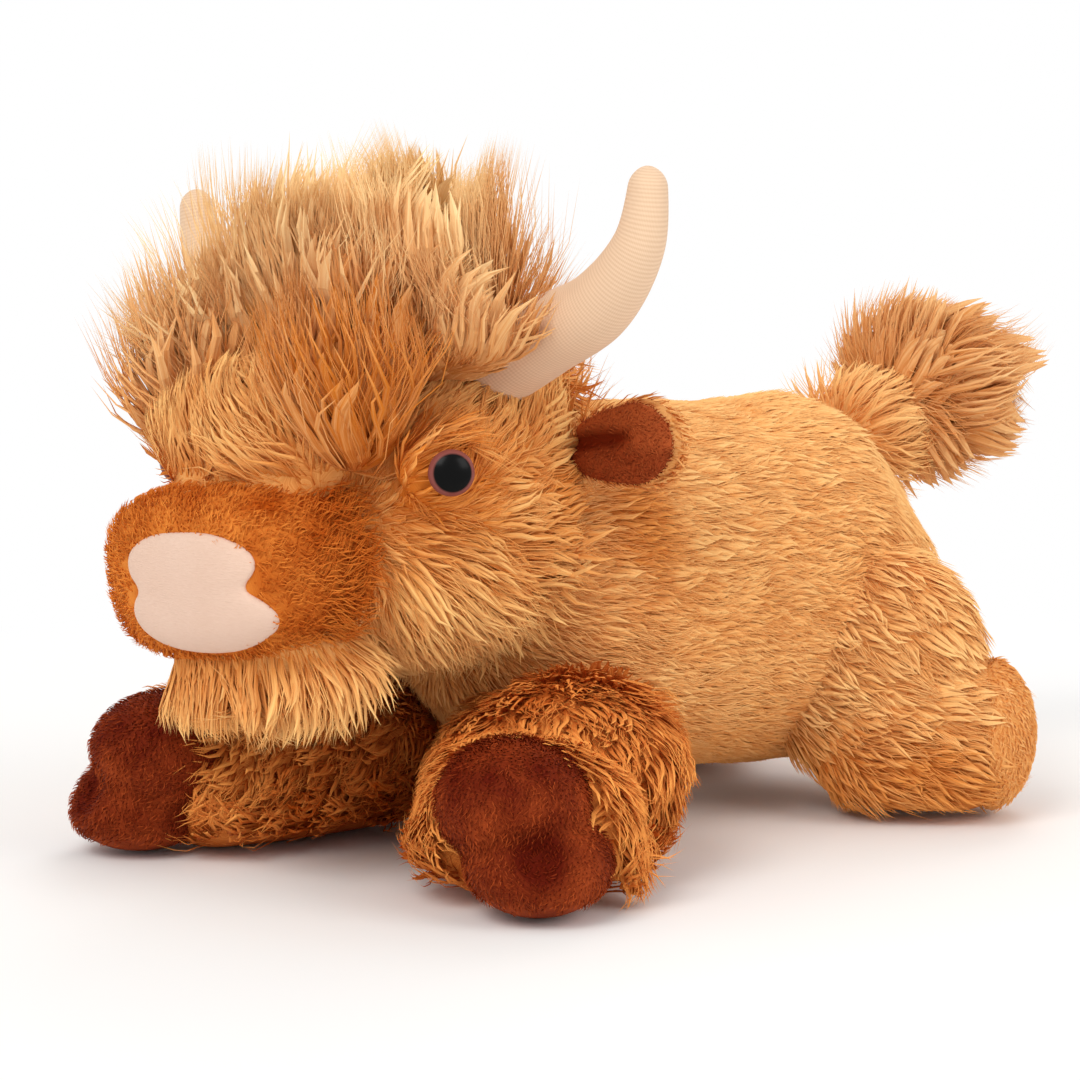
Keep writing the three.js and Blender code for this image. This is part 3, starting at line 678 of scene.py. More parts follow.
def ball(name, place, centre, radii, detail=4):
    """An egg-shaped mesh around a centre, in a place's millimetres."""
    made = bmesh.new()
    matrix = place @ Matrix.Translation(centre) @ Matrix.Diagonal((*radii, 1))
    bmesh.ops.create_icosphere(made, subdivisions=detail, radius=1, matrix=matrix)
    bmesh.ops.recalc_face_normals(made, faces=made.faces)
    return mesh_from(made, name)


# How the hair lies on each skin. A field reads places and facings in a part's own millimetres.


def ramp(values, start, end):
    """0 up to the start, 1 from the end on, and smooth between."""
    share = np.clip((values - start) / (end - start), 0, 1)
    return share * share * (3 - 2 * share)


def toward(*parts):
    return np.stack(np.broadcast_arrays(*parts), axis=-1).astype(float)


def unit(ways):
    return ways / np.maximum(np.linalg.norm(ways, axis=-1, keepdims=True), 1e-9)


def blended(first, second, share):
    return first + (second - first) * share[:, None]


RUFFLE = 0.3  # strength of the swirls that handling leaves in the hair
RUFFLE_SIZE = 16  # millimetres between those swirls
RUFFLE_SEED = 1
MOTTLE_SIZE = 9  # millimetres between lighter and darker patches

noise.seed_set(RUFFLE_SEED)  # the clock would pick other swirls each time


def write_layer(mesh, name, values):
    layer = mesh.attributes.new(name, "FLOAT", "POINT")
    layer.data.foreach_set("value", values)


def comb(mesh, place, field, shown=0.35, mottle=0.25):
    """Writes a field onto a skin, and how far up a strand the colour is that the skin itself shows."""
    turn = np.array(place.to_3x3())
    at = corners_at(mesh, place)
    facing = normals(mesh) @ turn / MM
    coat = field(at, facing)
    swirls = np.array([noise.noise_vector(Vector(spot) / RUFFLE_SIZE) for spot in at])
    way = (unit(coat["way"]) + swirls * RUFFLE) @ turn.T / MM
    patches = np.array([noise.noise(Vector(spot) / MOTTLE_SIZE) for spot in at])
    coat["tone"] = coat["tone"] + patches * mottle
    coat["along"] = shown
    ways = mesh.attributes.new("comb", "FLOAT_VECTOR", "POINT")
    ways.data.foreach_set("vector", way.ravel())
    for name, scale in (("length", MM), ("lift", 1), ("thick", 1), ("tone", 1), ("along", 1)):
        write_layer(mesh, name, np.broadcast_to(coat[name], len(at)) * scale)


def off_floor(z, facing):
    """Thins the hair where the toy rests on the floor."""
    return 1 - ramp(-facing[:, 2], 0.55, 0.9) * ramp(z, 16, 4)


def hump(values, middle, reach):
    """1 at the middle, and fading smoothly over the reach on both sides."""
    return np.exp(-((values - middle) / reach) ** 2)


def trunk_coat(at, facing):
    """Back along the trunk and down over the haunches, with painted shade deep at the chest, the belly and
    below the ears and painted light on the top of the back.
    """
    x, y, z = at.T
    haunch = ramp(y, 75, 150)
    under = ramp(z, 50, 18)
    chest = ramp(y, -25, -52)
    shaded_under_ear = hump(y, -5, 11) * hump(z, 108, 17) * ramp(x, 20, 40)
    return {
        "way": toward(0.1 * x / 60, 1 - 0.4 * haunch, -0.12 - 1.1 * haunch),
        "length": 11 + 3 * haunch,
        "lift": 0.15,
        "thick": off_floor(z, facing),
        # painted light: paler on the top of the back; painted shade: darker at the chest under the chin,
        # under the belly and below the ears
        "tone": 0.62 + 0.22 * ramp(z, 85, 135) - 0.3 * under + 0.1 * haunch - 0.45 * chest - 1.1 * shaded_under_ear,
    }


def head_coat(at, facing):
    """Outward from the muzzle's root, downward at the jaw and the chin, back and up on the crown."""
    x, y, z = at.T
    low = ramp(z, 12, -22)
    cheek = ramp(np.abs(x), 22, 46) * ramp(z, 12, -14)
    brow = ramp(y, -58, -76) * ramp(z, 18, 30)
    chin = ramp(y, -50, -64) * ramp(z, -12, -20)
    eye = hump(np.abs(x), 60, 21) * hump(y, -EYE.ahead, 21) * hump(z, EYE.height, 21)
    shaded_under_ear = hump(y, 2, 22) * hump(z, 2, 20) * ramp(np.abs(x), 30, 45)
    nape = ramp(y, 2, 18) * ramp(z, 60, 30)
    crown = ramp(y, -12, 8) * ramp(z, 34, 50)
    temple = ramp(y, -72, -58) * ramp(z, 24, 36) * (1 - crown)
    way = unit(at - toward(np.clip(x, -36, 36), -68, 10)) + toward(0, 0.35 * low, -0.7 * low)
    way = blended(way, toward(x / 130, 0.6, 0.8), temple)
    way = blended(way, toward(0.4 * x / 40, -0.3 + 0.5 * ramp(y, -90, -60), -1), chin)
    way = blended(way, toward(0.5 * x / 40, 1, 0.55), crown)
    inside_muzzle = ramp(y, -60, -66) * ramp(np.abs(x), 46, 42) * ramp(z, 27, 23) * ramp(z, -27, -23)
    from_eye = np.hypot(y + EYE.ahead + 2, z - EYE.height + 1)
    return {
        "way": way,
        "length": (
            13 + 14 * cheek * (1 - chin) + 6 * brow + 8 * chin - 7 * eye + 24 * crown
            + 12 * temple + 11 * nape
        ),
        "lift": 0.22 + 0.2 * brow + 0.1 * chin - 0.1 * eye + 0.15 * crown - 0.08 * temple,
        "thick": (1 - inside_muzzle) * ramp(from_eye, EYE.radius - 1.5, EYE.radius),
        # painted shade darker below the ears; painted light paler at the temple, against the shadow that the
        # forelock casts there
        "tone": (
            0.5 + 0.15 * brow + 0.3 * ramp(z, 0, -24) - 0.2 * chin - 0.3 * shaded_under_ear - 0.2 * crown
            - 0.75 * eye
            + 0.3 * temple + 0.3 * cheek
        ),
    }


def forelock_sinking(x):
    """How far the forelock's top lies below its form, which is most at its right end."""
    return 22 * ramp(x, 15, -60) + 9 * ramp(x, 40, 75) - 10 * hump(x, 32, 30)


def forelock_coat(at, facing):
    """Up over the brow and fanned out to both sides, long in front and short at the rim. Paler toward the
    top, partly the locks' own pale ends and partly painted light shining through them, and paler behind as
    painted light on the shaded back.
    """
    x, y, z = at.T
    risen = z + 0.5 * forelock_sinking(x)
    top = ramp(z, 62, 86)
    rim = np.maximum.reduce([top, ramp(x, 46, 74), ramp(x, -48, -82)])
    far_side = ramp(x, 5, -45)
    behind = ramp(y, -25, 15)
    fan = 0.38 - 0.12 * ramp(x, -10, 20) + 0.06 * ramp(x, 40, 60) - 0.12 * ramp(x, -25, -60)
    return {
        "way": unit(toward(x * fan, 6 + np.maximum(y + 45, 0) - 14 * far_side, z + 20)),
        "length": (
            57 - 37 * rim + 17 * top * (1 - far_side) - 8 * ramp(np.abs(x), 20, 60)
            - (12 * far_side + 16 * behind) * (1 - rim)
        ),
        "lift": 0.1 + 0.06 * rim,
        "thick": ramp(np.hypot(y + EYE.ahead, z - EYE.height), 10, 16),
        # paler upward: partly the locks' own pale ends, partly painted light shining through the top; paler
        # behind: painted light on the forelock's shaded back
        "tone": 0.16 + 0.9 * ramp(risen, 26, 84) - 0.25 * ramp(x, 30, 60) * (1 - top) + 0.3 * behind,
    }


def tail_coat(at, facing):
    y = at[:, 1]
    return {
        "way": toward(0, 1, 0.24),
        "length": 20 + 4 * ramp(y, 10, 30),
        "lift": 0.34,
        "thick": 1,
        "tone": 0.9,
    }


def tuft_coat(at, facing):
    """Outward from the tuft's root, and paler toward its end."""
    _, y, z = at.T
    return {
        "way": unit(at - (0, 20, 12)) + toward(0, 0.35, 0.05),
        "length": 25 - 5 * ramp(z, 24, 38),
        "lift": 0.36,
        "thick": ramp(y, 14, 22),
        "tone": 0.36 + 0.3 * ramp(y, 40, 80),
    }


def front_leg_coat(at, facing):
    """Along the leg and down its outer side, paler there and toward the hoof; the darker inner side is partly
    painted shade under the chin and between the legs.
    """
    x, y, z = at.T
    low = ramp(z, 30, 12)
    outside = ramp(y, 5, 30)
    return {
        "way": toward(0.7, (0.2 + 0.6 * low) * y / 30, -0.4 - 0.5 * outside + 0.5 * low),
        "length": 11 + 3 * ramp(y, 0, 30) + 6 * ramp(x, 44, 58) * ramp(z, 28, 44) + 4 * low,
        "lift": 0.4,
        "thick": off_floor(z, facing) * ramp(x, FRONT_LEG.seam + 8, FRONT_LEG.seam + 4),
        # darker inner side: partly painted shade under the chin and between the legs
        "tone": 0.42 + 0.38 * ramp(x, 25, 55) + 0.2 * outside - 0.3 * ramp(z, 30, 8),
    }


def rear_leg_coat(at, facing):
    x, _, z = at.T
    return {
        "way": toward(1, 0.1, -0.3 - 0.9 * ramp(z, 45, 80)),
        "length": 12,
        "lift": 0.26,
        "thick": off_floor(z, facing) * ramp(x, REAR_LEG.seam + 2, REAR_LEG.seam - 1),
        # darker toward the underside: partly the browner lower leg and partly painted shade beneath the leg
        "tone": 0.75 - 0.75 * ramp(z, 42, 18),
    }


def sole_pile(at, facing):
    return {
        "way": toward(0.2, 0.1, -1), "length": 3.2, "lift": 0.35,
        "thick": off_floor(at[:, 2], facing), "tone": 0.35,
    }


def dimple_share(at):
    """1 in the dimple on a hoof's front, and 0 away from it."""
    x, y, z = at.T
    return hump(y, 6, 9) * hump(z, 21, 6.5) * ramp(x, 70, 84)


def hoof_pile(at, facing):
    """Short pile, deep at the top, with painted shade deep in the dimple and a painted sheen pale on the
    outer ridge, and paler on the inner lobe.
    """
    y, z = at[:, 1], at[:, 2]
    ridge = hump(y, 17, 5) * ramp(z, 44, 34)
    lobe = hump(y, -12, 8) * hump(z, 28, 8)
    top = hump(z, 44, 7)
    return {
        "way": toward(0.5, 0, -0.6), "length": 2.6, "lift": 0.65, "thick": off_floor(z, facing),
        # painted shade in the dimple and painted sheen on the outer ridge
        "tone": (
            0.46 - 1.1 * dimple_share(at) + 0.34 * ridge + 0.22 * lobe - 0.3 * top
            + 0.15 * ramp(z, 14, 6)
        ),
    }


def muzzle_pile(at, facing):
    """Short pile that lies back, thinned under the nose pad, and palest round the pad, with painted shade
    darker on its sides, its underside and toward its root under the brow.
    """
    x, y, z = at.T
    across, over = x - NOSE_PAD.aside, z - MUZZLE.tip_height
    from_pad = np.hypot(across / NOSE_PAD.half_width, over / NOSE_PAD.half_height)
    nostril = hump(np.abs(across), 33, 8) * hump(over, 1, 5)
    shown = np.maximum.reduce([ramp(from_pad, 0.9, 1.05), ramp(nostril, 0.4, 0.6), ramp(y, -86, -80)])
    return {
        "way": toward(0.25 * x / 40, 0.9, 0.25),
        "length": 3.6 + 8 * ramp(y, -90, -70),
        "lift": 0.6,
        "thick": ramp(y, -62, -66) * shown,
        # painted shade: darker on the sides, on the underside and toward the root under the brow
        "tone": (
            0.46 - 0.2 * ramp(np.abs(x), 26, 44) - 0.2 * ramp(z, -8, -26) + 0.3 * ramp(from_pad, 1.7, 1.1)
            - 0.2 * ramp(y, -84, -70)
        ),
    }


# Colours and materials


def shade(red, green, blue):
    """A colour named by its strengths on a screen, from 0 to 255."""
    return tuple((strength / 255) ** 2.2 for strength in (red, green, blue)) + (1.0,)


def mixed(tree, share, first, second):
    return add_node(tree, "ShaderNodeMix", {"Factor": share, "A": first, "B": second}, data_type="RGBA")


def pile_group():
    """Colour from root to tip, deep or light by tone, with fine streaks along each strand or lock. The darker
    roots are partly the pile's own paler tips and partly painted shade deep in the pile.
    """
    colours = {name: ("Color", None) for name in ("Deep root", "Deep tip", "Light root", "Light tip")}
    inputs = colours | {"Streaks": ("Float", 0.5)}
    tree, given, exit_node = new_group(
        "pile colour", "ShaderNodeTree", inputs, {"Color": ("Color", None), "Height": ("Float", None)},
    )
    along = add_node(tree, "ShaderNodeAttribute", output="Fac", attribute_name="along")
    tone = add_node(tree, "ShaderNodeAttribute", output="Fac", attribute_name="tone")
    spot = add_node(tree, "ShaderNodeCombineXYZ", {"X": along * 1.2, "Y": tone * 170.0})
    inputs = {"Vector": spot, "Scale": 1.0, "Detail": 2.0, "Roughness": 0.6}
    streak = add_node(tree, "ShaderNodeTexNoise", inputs)
    streaked = (tone + (streak - 0.5) * given["Streaks"] * 2.4).clamped()
    risen = (along + (streak - 0.5) * 0.4).clamped() ** 0.7
    deep = mixed(tree, risen, given["Deep root"], given["Deep tip"])
    light = mixed(tree, risen, given["Light root"], given["Light tip"])
    feed(tree, exit_node.inputs["Color"], mixed(tree, streaked, deep, light))
    feed(tree, exit_node.inputs["Height"], streak)
    return tree


def new_material(name, roughness, sheen, specular):
    material = bpy.data.materials.new(name)
    material.use_nodes = True
    plain = material.node_tree.nodes["Principled BSDF"]
    plain.inputs["Roughness"].default_value = roughness
    plain.inputs["Sheen Weight"].default_value = sheen
    plain.inputs["Sheen Roughness"].default_value = 0.5
    plain.inputs["Specular IOR Level"].default_value = specular
    return material, material.node_tree, plain


def pile_material(name, deep_root, deep_tip, light_root, light_tip):
    material, tree, plain = new_material(name, 0.7, 0.0, 0.08)
    colour = add_node(tree, "ShaderNodeGroup", {
        "Deep root": shade(*deep_root), "Deep tip": shade(*deep_tip),
        "Light root": shade(*light_root), "Light tip": shade(*light_tip), "Streaks": 0.5,
    }, "Color", node_tree=PILE_GROUP)
    bumps = add_node(tree, "ShaderNodeBump", {
        "Strength": 0.35, "Distance": 0.4 * MM, "Height": colour.socket.node.outputs["Height"],
    })
    feed(tree, plain.inputs["Base Color"], colour)
    feed(tree, plain.inputs["Normal"], bumps)
    return material


def grain_group():
    """Cloth with a fine grain: a colour that varies a little and the height of its bumps."""
    tree, given, exit_node = new_group("cloth grain", "ShaderNodeTree", {
        "Color": ("Color", None), "Dark color": ("Color", None), "Grain scale": ("Float", None),
        "Stretch": ("Vector", None),
    }, {"Color": ("Color", None), "Height": ("Float", None)})
    where = add_node(tree, "ShaderNodeTexCoord", output="Object")
    stretched = combine(tree, "MULTIPLY", where, given["Stretch"])
    grain_inputs = {"Vector": stretched, "Scale": given["Grain scale"], "Detail": 3.0}
    grain = add_node(tree, "ShaderNodeTexNoise", grain_inputs)
    patches = add_node(tree, "ShaderNodeTexNoise", {"Vector": where, "Scale": 60.0, "Detail": 2.0})
    share = (grain * 0.7 + patches * 0.5 - 0.1).clamped()
    feed(tree, exit_node.inputs["Color"], mixed(tree, share, given["Dark color"], given["Color"]))
    feed(tree, exit_node.inputs["Height"], grain)
    return tree


def cloth_material(name, colour, dark, scale, stretch=(1, 1, 1), bump=0.4, roughness=0.9):
    material, tree, plain = new_material(name, roughness, 0.1, 0.15)
    grain = add_node(tree, "ShaderNodeGroup", {
        "Color": shade(*colour), "Dark color": shade(*dark), "Grain scale": scale, "Stretch": stretch,
    }, "Color", node_tree=GRAIN_GROUP)
    bumps = add_node(tree, "ShaderNodeBump", {
        "Strength": bump, "Distance": 0.6 * MM, "Height": grain.socket.node.outputs["Height"],
    })
    feed(tree, plain.inputs["Base Color"], grain)
    feed(tree, plain.inputs["Normal"], bumps)
    return material


def weave_material():
    """Cream cloth with fine ribs round the horn, which follow its map."""
    material, tree, plain = new_material("cream weave", 0.8, 0.1, 0.2)
    around, up, _ = split_up(tree, add_node(tree, "ShaderNodeUVMap", output="UV", uv_map="OFBake"))
    rib_count, thread_count = 84, 90
    ribs = combine(tree, "SINE", up * (FULL_TURN * rib_count))
    threads = combine(tree, "SINE", around * (FULL_TURN * thread_count))
    weave = ribs * 0.2 + threads * 0.14 + 0.55
    feed(tree, plain.inputs["Base Color"], mixed(tree, weave, shade(212, 174, 140), shade(238, 207, 176)))
    bumps = add_node(tree, "ShaderNodeBump", {"Strength": 0.25, "Distance": 0.3 * MM, "Height": weave})
    feed(tree, plain.inputs["Normal"], bumps)
    return material


def eye_material():
    """Black domed plastic with a dull rose rim, painted by the distance from the middle of its face."""
    material, tree, plain = new_material("eye plastic", 0.25, 0.0, 0.12)
    outward = add_node(tree, "ShaderNodeAttribute", output="Fac", attribute_name="rim")
    rim = ramp_between(tree, outward, 0.78, 0.86)
    feed(tree, plain.inputs["Base Color"], mixed(tree, rim, shade(7, 6, 6), shade(132, 74, 68)))
    return material


def ramp_between(tree, value, start, end):
    inputs = {"Value": value, "From Min": start, "From Max": end}
    return add_node(tree, "ShaderNodeMapRange", inputs, "Result")


PILE_GROUP = pile_group()
GRAIN_GROUP = grain_group()
HAIR_TREE = hair_tree()


# Deep root, deep tip, light root and light tip of each pile; the darker roots are partly painted shade deep
# in the pile
PILES = {
    "golden fur": ((184, 92, 30), (232, 152, 76), (238, 158, 82), (255, 210, 142)),
    "head fur": ((178, 80, 16), (230, 138, 56), (240, 154, 70), (255, 212, 140)),
    "lock fur": ((168, 76, 18), (220, 132, 50), (242, 168, 84), (255, 226, 170)),
    "leg fur": ((118, 32, 4), (204, 92, 22), (196, 88, 20), (255, 178, 94)),
    "muzzle pile": ((144, 54, 8), (204, 100, 30), (200, 102, 30), (236, 150, 68)),
    "brown pile": ((60, 8, 2), (116, 34, 8), (116, 32, 8), (190, 90, 44)),
    "ear pile": ((70, 12, 3), (126, 44, 16), (138, 52, 20), (196, 102, 56)),
}

MATERIALS = {name: pile_material(name, *colours) for name, colours in PILES.items()} | {
    "pink fleece": cloth_material("pink fleece", (230, 200, 182), (216, 180, 158), 1500.0, (0.35, 0.35, 1.6)),
    "cream weave": weave_material(),
    "eye plastic": eye_material(),
    "washer plastic": cloth_material(
        "washer plastic", (232, 228, 218), (224, 219, 208), 300.0, bump=0.02, roughness=0.5),
}


# The stuffed parts and their coats

LOCKS = dict(width=5.2, thickness=1.4, fullness=2.0, streak_width=0.06, roundness=0.3, reach=0.8)
WISPS = dict(width=1.8, thickness=0.6, fullness=1.7, streak_width=0.022, roundness=0.2, reach=0.93)
STRANDS = dict(width=0.5, thickness=0.35, roundness=0.25)


def stuffed_skin(name, nodes, place, field, wear, replaces, voxel=4.5, extras=(), change=None):
    """A stuffed skin from the solids inside the covers, combed for the hair that grows on it."""
    mesh = remeshed(solid_mesh(name, nodes, extras), voxel, 4)
    if change:
        reshape(mesh, place, change)
    mesh = stuffed(mesh)
    rest_on_floor(mesh)
    return combed_skin(mesh, name, place, field, wear, replaces)


def rest_on_floor(mesh):
    places = corners(mesh)
    places[:, 2] = np.maximum(places[:, 2], FLOOR_CLEARANCE)
    put_corners(mesh, places)


def leg_parts(leg, place):
    """The stuffing of a leg and of the swelling at its root, whole, in two meshes."""
    inset = STUFFING_INSET
    limb = form(
        "limb", place, [(-leg.inside, 0, 30), (leg.reach, 0, leg.end_height)], (0, -1, 0),
        np.array(leg.shares) * (leg.half_width, leg.rise, leg.drop) - inset, leg.domes, sides=32, rings=24,
    )
    centre, radii = leg.swelling
    parts = [limb, ball("swelling", place, centre, [radius - inset for radius in radii])]
    for part in parts:
        reshape(part, place, spread_low)
    return parts


def spread_low(at):
    """A leg's weight spreads its underside."""
    at[:, 1] *= 1 + 0.3 * ramp(at[:, 2], 28, 6)


def combed_skin(mesh, name, place, field, wear, replaces, fill=0.8):
    mesh = finish_mesh(mesh, [("SUBSURF", {"levels": 1, "render_levels": 1})])
    mesh.name = name
    comb(mesh, place, field)
    mesh.shade_smooth()
    return dress(mesh, name, *wear, replaces, fill)


def make_pile(mesh, names, wear, replaces, seed, fill=0.8, **coat):
    """A combed skin in place of a solid, with the short pile that grows on it."""
    skin = dress(mesh, names[0], *wear, [replaces], fill)
    grow(names[1], skin, wear, seed, steps=2, **coat)


def raise_rump(at):
    """Fills the back out before the tail and draws the rump in below it."""
    _, y, z = at.T
    at[:, 2] += 8 * hump(y, 118, 36) * ramp(z, 85, 130)
    at[:, 1] -= 6 * ramp(y, 110, 160) * hump(z, 100, 30)


def make_trunk():
    wear = ("trunk", "golden_fur", MATERIALS["golden fur"])
    skin = stuffed_skin(
        "trunk skin", ["body_stuffing"], TOY, trunk_coat, wear, ["body_cover", "body_stuffing"],
        change=raise_rump,
    )
    layers = [
        ("locks", 1, WISPS, 2.5, 3),
        ("strands 1", 2, STRANDS, 1.45, 2),
        ("strands 2", 3, STRANDS, 1.45, 2),
    ]
    grow_layers(
        "trunk", skin, wear, layers, lock_spacing=7, gather=0.3, stray=0.12, lock_lean=0.2, tone_scatter=0.2,
    )


def make_head():
    wear = ("head", "head_fur", MATERIALS["head fur"])
    sockets = [
        ball("socket filler", HEAD, (sign * 58, 3 - EYE.ahead, EYE.height), (8, 15, 12), 3)
        for sign in SIDES.values()
    ]
    skin = stuffed_skin(
        "head skin", ["head_stuffing"], HEAD, head_coat, wear, ["head_cover", "head_stuffing", "chin_cover"],
        extras=sockets,
    )
    grow_layers(
        "head", skin, wear, [("locks", 5, WISPS, 2.5, 4), ("strands", 6, STRANDS, 1.34, 3)],
        lock_spacing=9, gather=0.55, stray=0.1, lock_lean=0.28, tone_scatter=0.25, length_scatter=0.2,
    )
    make_muzzle()
    make_forelock()
    for side, sign in SIDES.items():
        make_eye(side, sign, skin)
        make_horn(side, sign)
        make_ear(side, sign)


def make_muzzle():
    root = (0, -MUZZLE.root, MUZZLE.root_height)
    tip = (0, -MUZZLE.root - MUZZLE.length, MUZZLE.tip_height)
    shares = ((0.9, 1, 0.96), (0.97, 1, 1), (1, 0.97, 0.97))
    full = (MUZZLE.half_width, MUZZLE.rise, MUZZLE.drop)
    mesh = form(
        "muzzle skin", MUZZLE_FRAME, [root, tip], (-1, 0, 0), np.array(shares) * full - STUFFING_INSET / 2,
        (12, 20), squareness=2.9, sides=64, rings=40,
    )
    comb(mesh, HEAD, muzzle_pile, shown=0.5, mottle=0.7)
    make_pile(
        mesh, ("muzzle skin", "muzzle pile"), ("head", "muzzle_pile", MATERIALS["muzzle pile"]),
        "muzzle_cover", 7, spacing=0.95, width=0.6, thickness=0.4, lock_spacing=4, gather=0.5, wave=0.4,
        stray=0.7,
    )
    make_nose_pad(mesh)


def tree_of(mesh):
    """What a ray can be cast at."""
    places = [corner.co for corner in mesh.vertices]
    return BVHTree.FromPolygons(places, [face.vertices for face in mesh.polygons])


def smooth_loop(places, count):
    """Evenly many points on a closed curve that passes near the given places."""
    places = np.asarray(places, float)
    for _ in range(3):
        after = np.roll(places, -1, axis=0)
        places = np.stack([places * 0.75 + after * 0.25, places * 0.25 + after * 0.75], axis=1).reshape(-1, 2)
    spots = np.linspace(0, len(places), count, endpoint=False)
    ends = np.vstack([places, places[:1]])
    return np.stack([np.interp(spots, np.arange(len(ends)), ends[:, axis]) for axis in (0, 1)], axis=1)


# The upper right half of the nose pad's outline and on round to its foot, in its half width and half height
NOSE_PAD_HALF = (
    (0, 1), (0.45, 0.97), (0.8, 0.74), (0.88, 0.38), (0.7, 0.06), (0.88, -0.16), (0.93, -0.42), (0.82, -0.7),
    (0.5, -0.93), (0, -1),
)


def make_nose_pad(muzzle_mesh):
    """A thin cushion laid on the muzzle's front, with a notch on each side."""
    whole = [*NOSE_PAD_HALF, *((-x, y) for x, y in reversed(NOSE_PAD_HALF[1:-1]))]
    outline = smooth_loop(whole, 96) * (NOSE_PAD.half_width, NOSE_PAD.half_height)
    surface = tree_of(muzzle_mesh)
    before = Vector((NOSE_PAD.aside, -MUZZLE.root - MUZZLE.length - 20, MUZZLE.tip_height + NOSE_PAD.lift))
    backward = (MUZZLE_FRAME.to_3x3() @ Vector((0, 1, 0))).normalized()
    made = bmesh.new()
    rings = 12

    def spot(x, z, depth):
        hit, facing, _, _ = surface.ray_cast(MUZZLE_FRAME @ (before + Vector((x, 0, z))), backward)
        return made.verts.new(hit + facing * depth * MM)

    def layer(depth_at):
        centre = spot(0, 0, depth_at(0))
        shares = [math.sin(ring / rings * math.pi / 2) for ring in range(1, rings + 1)]
        return centre, [[spot(x * share, z * share, depth_at(share)) for x, z in outline] for share in shares]

    front = layer(lambda share: 0.4 + NOSE_PAD.thickness * (1 - share**5) ** 0.5)
    back = layer(lambda share: -0.4)
    rims = front[1][-1], back[1][-1]
    for index in range(len(outline)):
        following = (index + 1) % len(outline)
        for centre, loops in (front, back):
            made.faces.new((centre, loops[0][index], loops[0][following]))
            for here, there in zip(loops, loops[1:]):
                made.faces.new((here[index], there[index], there[following], here[following]))
        made.faces.new((rims[0][index], rims[1][index], rims[1][following], rims[0][following]))
    bmesh.ops.recalc_face_normals(made, faces=made.faces)
    mesh = mesh_from(made, "nose pad")
    mesh.shade_smooth()
    dress(mesh, "nose cloth", "head", "pink_fleece", MATERIALS["pink fleece"], ["nose_pad"])


def make_forelock():
    wear = ("head", "tuft_fur", MATERIALS["lock fur"])
    inset = 13
    low, high = FORELOCK.foot + inset, FORELOCK.foot + FORELOCK.height - 3.2 * inset
    axis = [(0, -FORELOCK.ahead, low), (5, FORELOCK.lean - FORELOCK.ahead, high)]
    shares = ((0.7, 0.7, 0.8), (0.94, 0.94, 0.96), (1, 1, 1), (0.9, 0.94, 0.9))
    full = (FORELOCK.half_width, FORELOCK.half_depth, FORELOCK.half_depth)
    mesh = form(
        "forelock skin", HEAD, axis, (1, 0, 0), np.array(shares) * full - inset, (20, 46), sides=40, rings=28,
    )
    corner_tufts = [ball("corner tuft", HEAD, (x, -64, 44), (19, 13, 18), 3) for x in (38, -32)]
    mesh = remeshed(solid_mesh("forelock skin", [], [mesh, *corner_tufts]), 3, 8)
    sink_forelock_sides(mesh)
    skin = combed_skin(mesh, "forelock skin", HEAD, forelock_coat, wear, ["forelock"], fill=0.5)
    layers = [("locks", 8, LOCKS, 3.2, 6), ("wisps", 9, WISPS, 2.3, 5), ("strands", 10, STRANDS, 1.08, 4)]
    grow_layers(
        "forelock", skin, wear, layers, lock_spacing=16, gather=0.82, wave=0.14, stray=0.05, lock_lean=0.26,
        length_scatter=0.3, tone_scatter=0.1, follow=0.7,
    )


def sink_forelock_sides(mesh):
    """Lowers the forelock's top and leaves its foot."""
    def sunk(at):
        x, _, z = at.T
        at[:, 2] -= forelock_sinking(x) * ramp(z, 40, 84)
    reshape(mesh, HEAD, sunk)


def make_eye(side, sign, head_skin):
    """A flat dome on the skin, turned a little to the front."""
    surface = tree_of(head_skin.data)
    outward = (HEAD.to_3x3() @ Vector((sign, 0, 0))).normalized()
    start = HEAD @ Vector((sign * 110, -EYE.ahead, EYE.height))
    hit, facing, _, _ = surface.ray_cast(start, -outward)
    ahead = (HEAD.to_3x3() @ Vector((sign * 0.5, -1, 0.1))).normalized()
    turn = facing.lerp(ahead, EYE.turned).to_track_quat("Z", "Y").to_matrix().to_4x4()
    place = Matrix.Translation(hit + facing * EYE.proud * MM) @ turn @ Matrix.Scale(MM, 4)
    mesh = ball(f"{side} eye", place, (0, 0, 0), (EYE.radius, EYE.radius, EYE.bulge), 5)
    at = corners_at(mesh, place)
    write_layer(mesh, "rim", np.hypot(at[:, 0], at[:, 1]) / EYE.radius)
    mesh.shade_smooth()
    dress(mesh, f"{side} eye", "head", "eye_plastic", MATERIALS["eye plastic"], [f"eye_{side}"])


def make_horn(side, sign):
    places = ((-0.1, 0.0), (0.28, 0.16), (0.65, 0.32), (0.92, 0.62), (1, 1))
    route = [
        (sign * (HORN.side + out * HORN.reach), -HORN.ahead, HORN.root + up * HORN.height)
        for out, up in places
    ]
    girths = [(HORN.radius * share,) * 3 for share in (1, 0.91, 0.79, 0.58, 0.39)]
    mesh = form(f"{side} horn", HEAD, route, (0, -1, 0), girths, (3, 6), sides=40, rings=90)
    solids = [f"horn_cover_{side}", f"horn_stuffing_{side}"]
    dress(mesh, f"{side} horn", "head", "cream_weave", MATERIALS["cream weave"], solids, 0.9)


def ear_coat(sign):
    def field(at, facing):
        return {
            "way": toward(sign, 0.1, -0.1), "length": 8, "lift": 0.3,
            "thick": 1 - ramp(-facing[:, 1], 0.5, 0.8), "tone": 0.55,
        }
    return field


def ear_pile(sign):
    def field(at, facing):
        crease = crease_share(at)
        return {
            "way": toward(sign, 0, 0.2), "length": 2.2, "lift": 0.5, "thick": 1 - crease,
            # painted shade: darker in the crease and on the lining's lower half, with a painted highlight
            # above
            "tone": 0.8 - 0.4 * ramp(at[:, 2], EAR.root + 3, EAR.root - 2) - 0.9 * crease,
        }
    return field


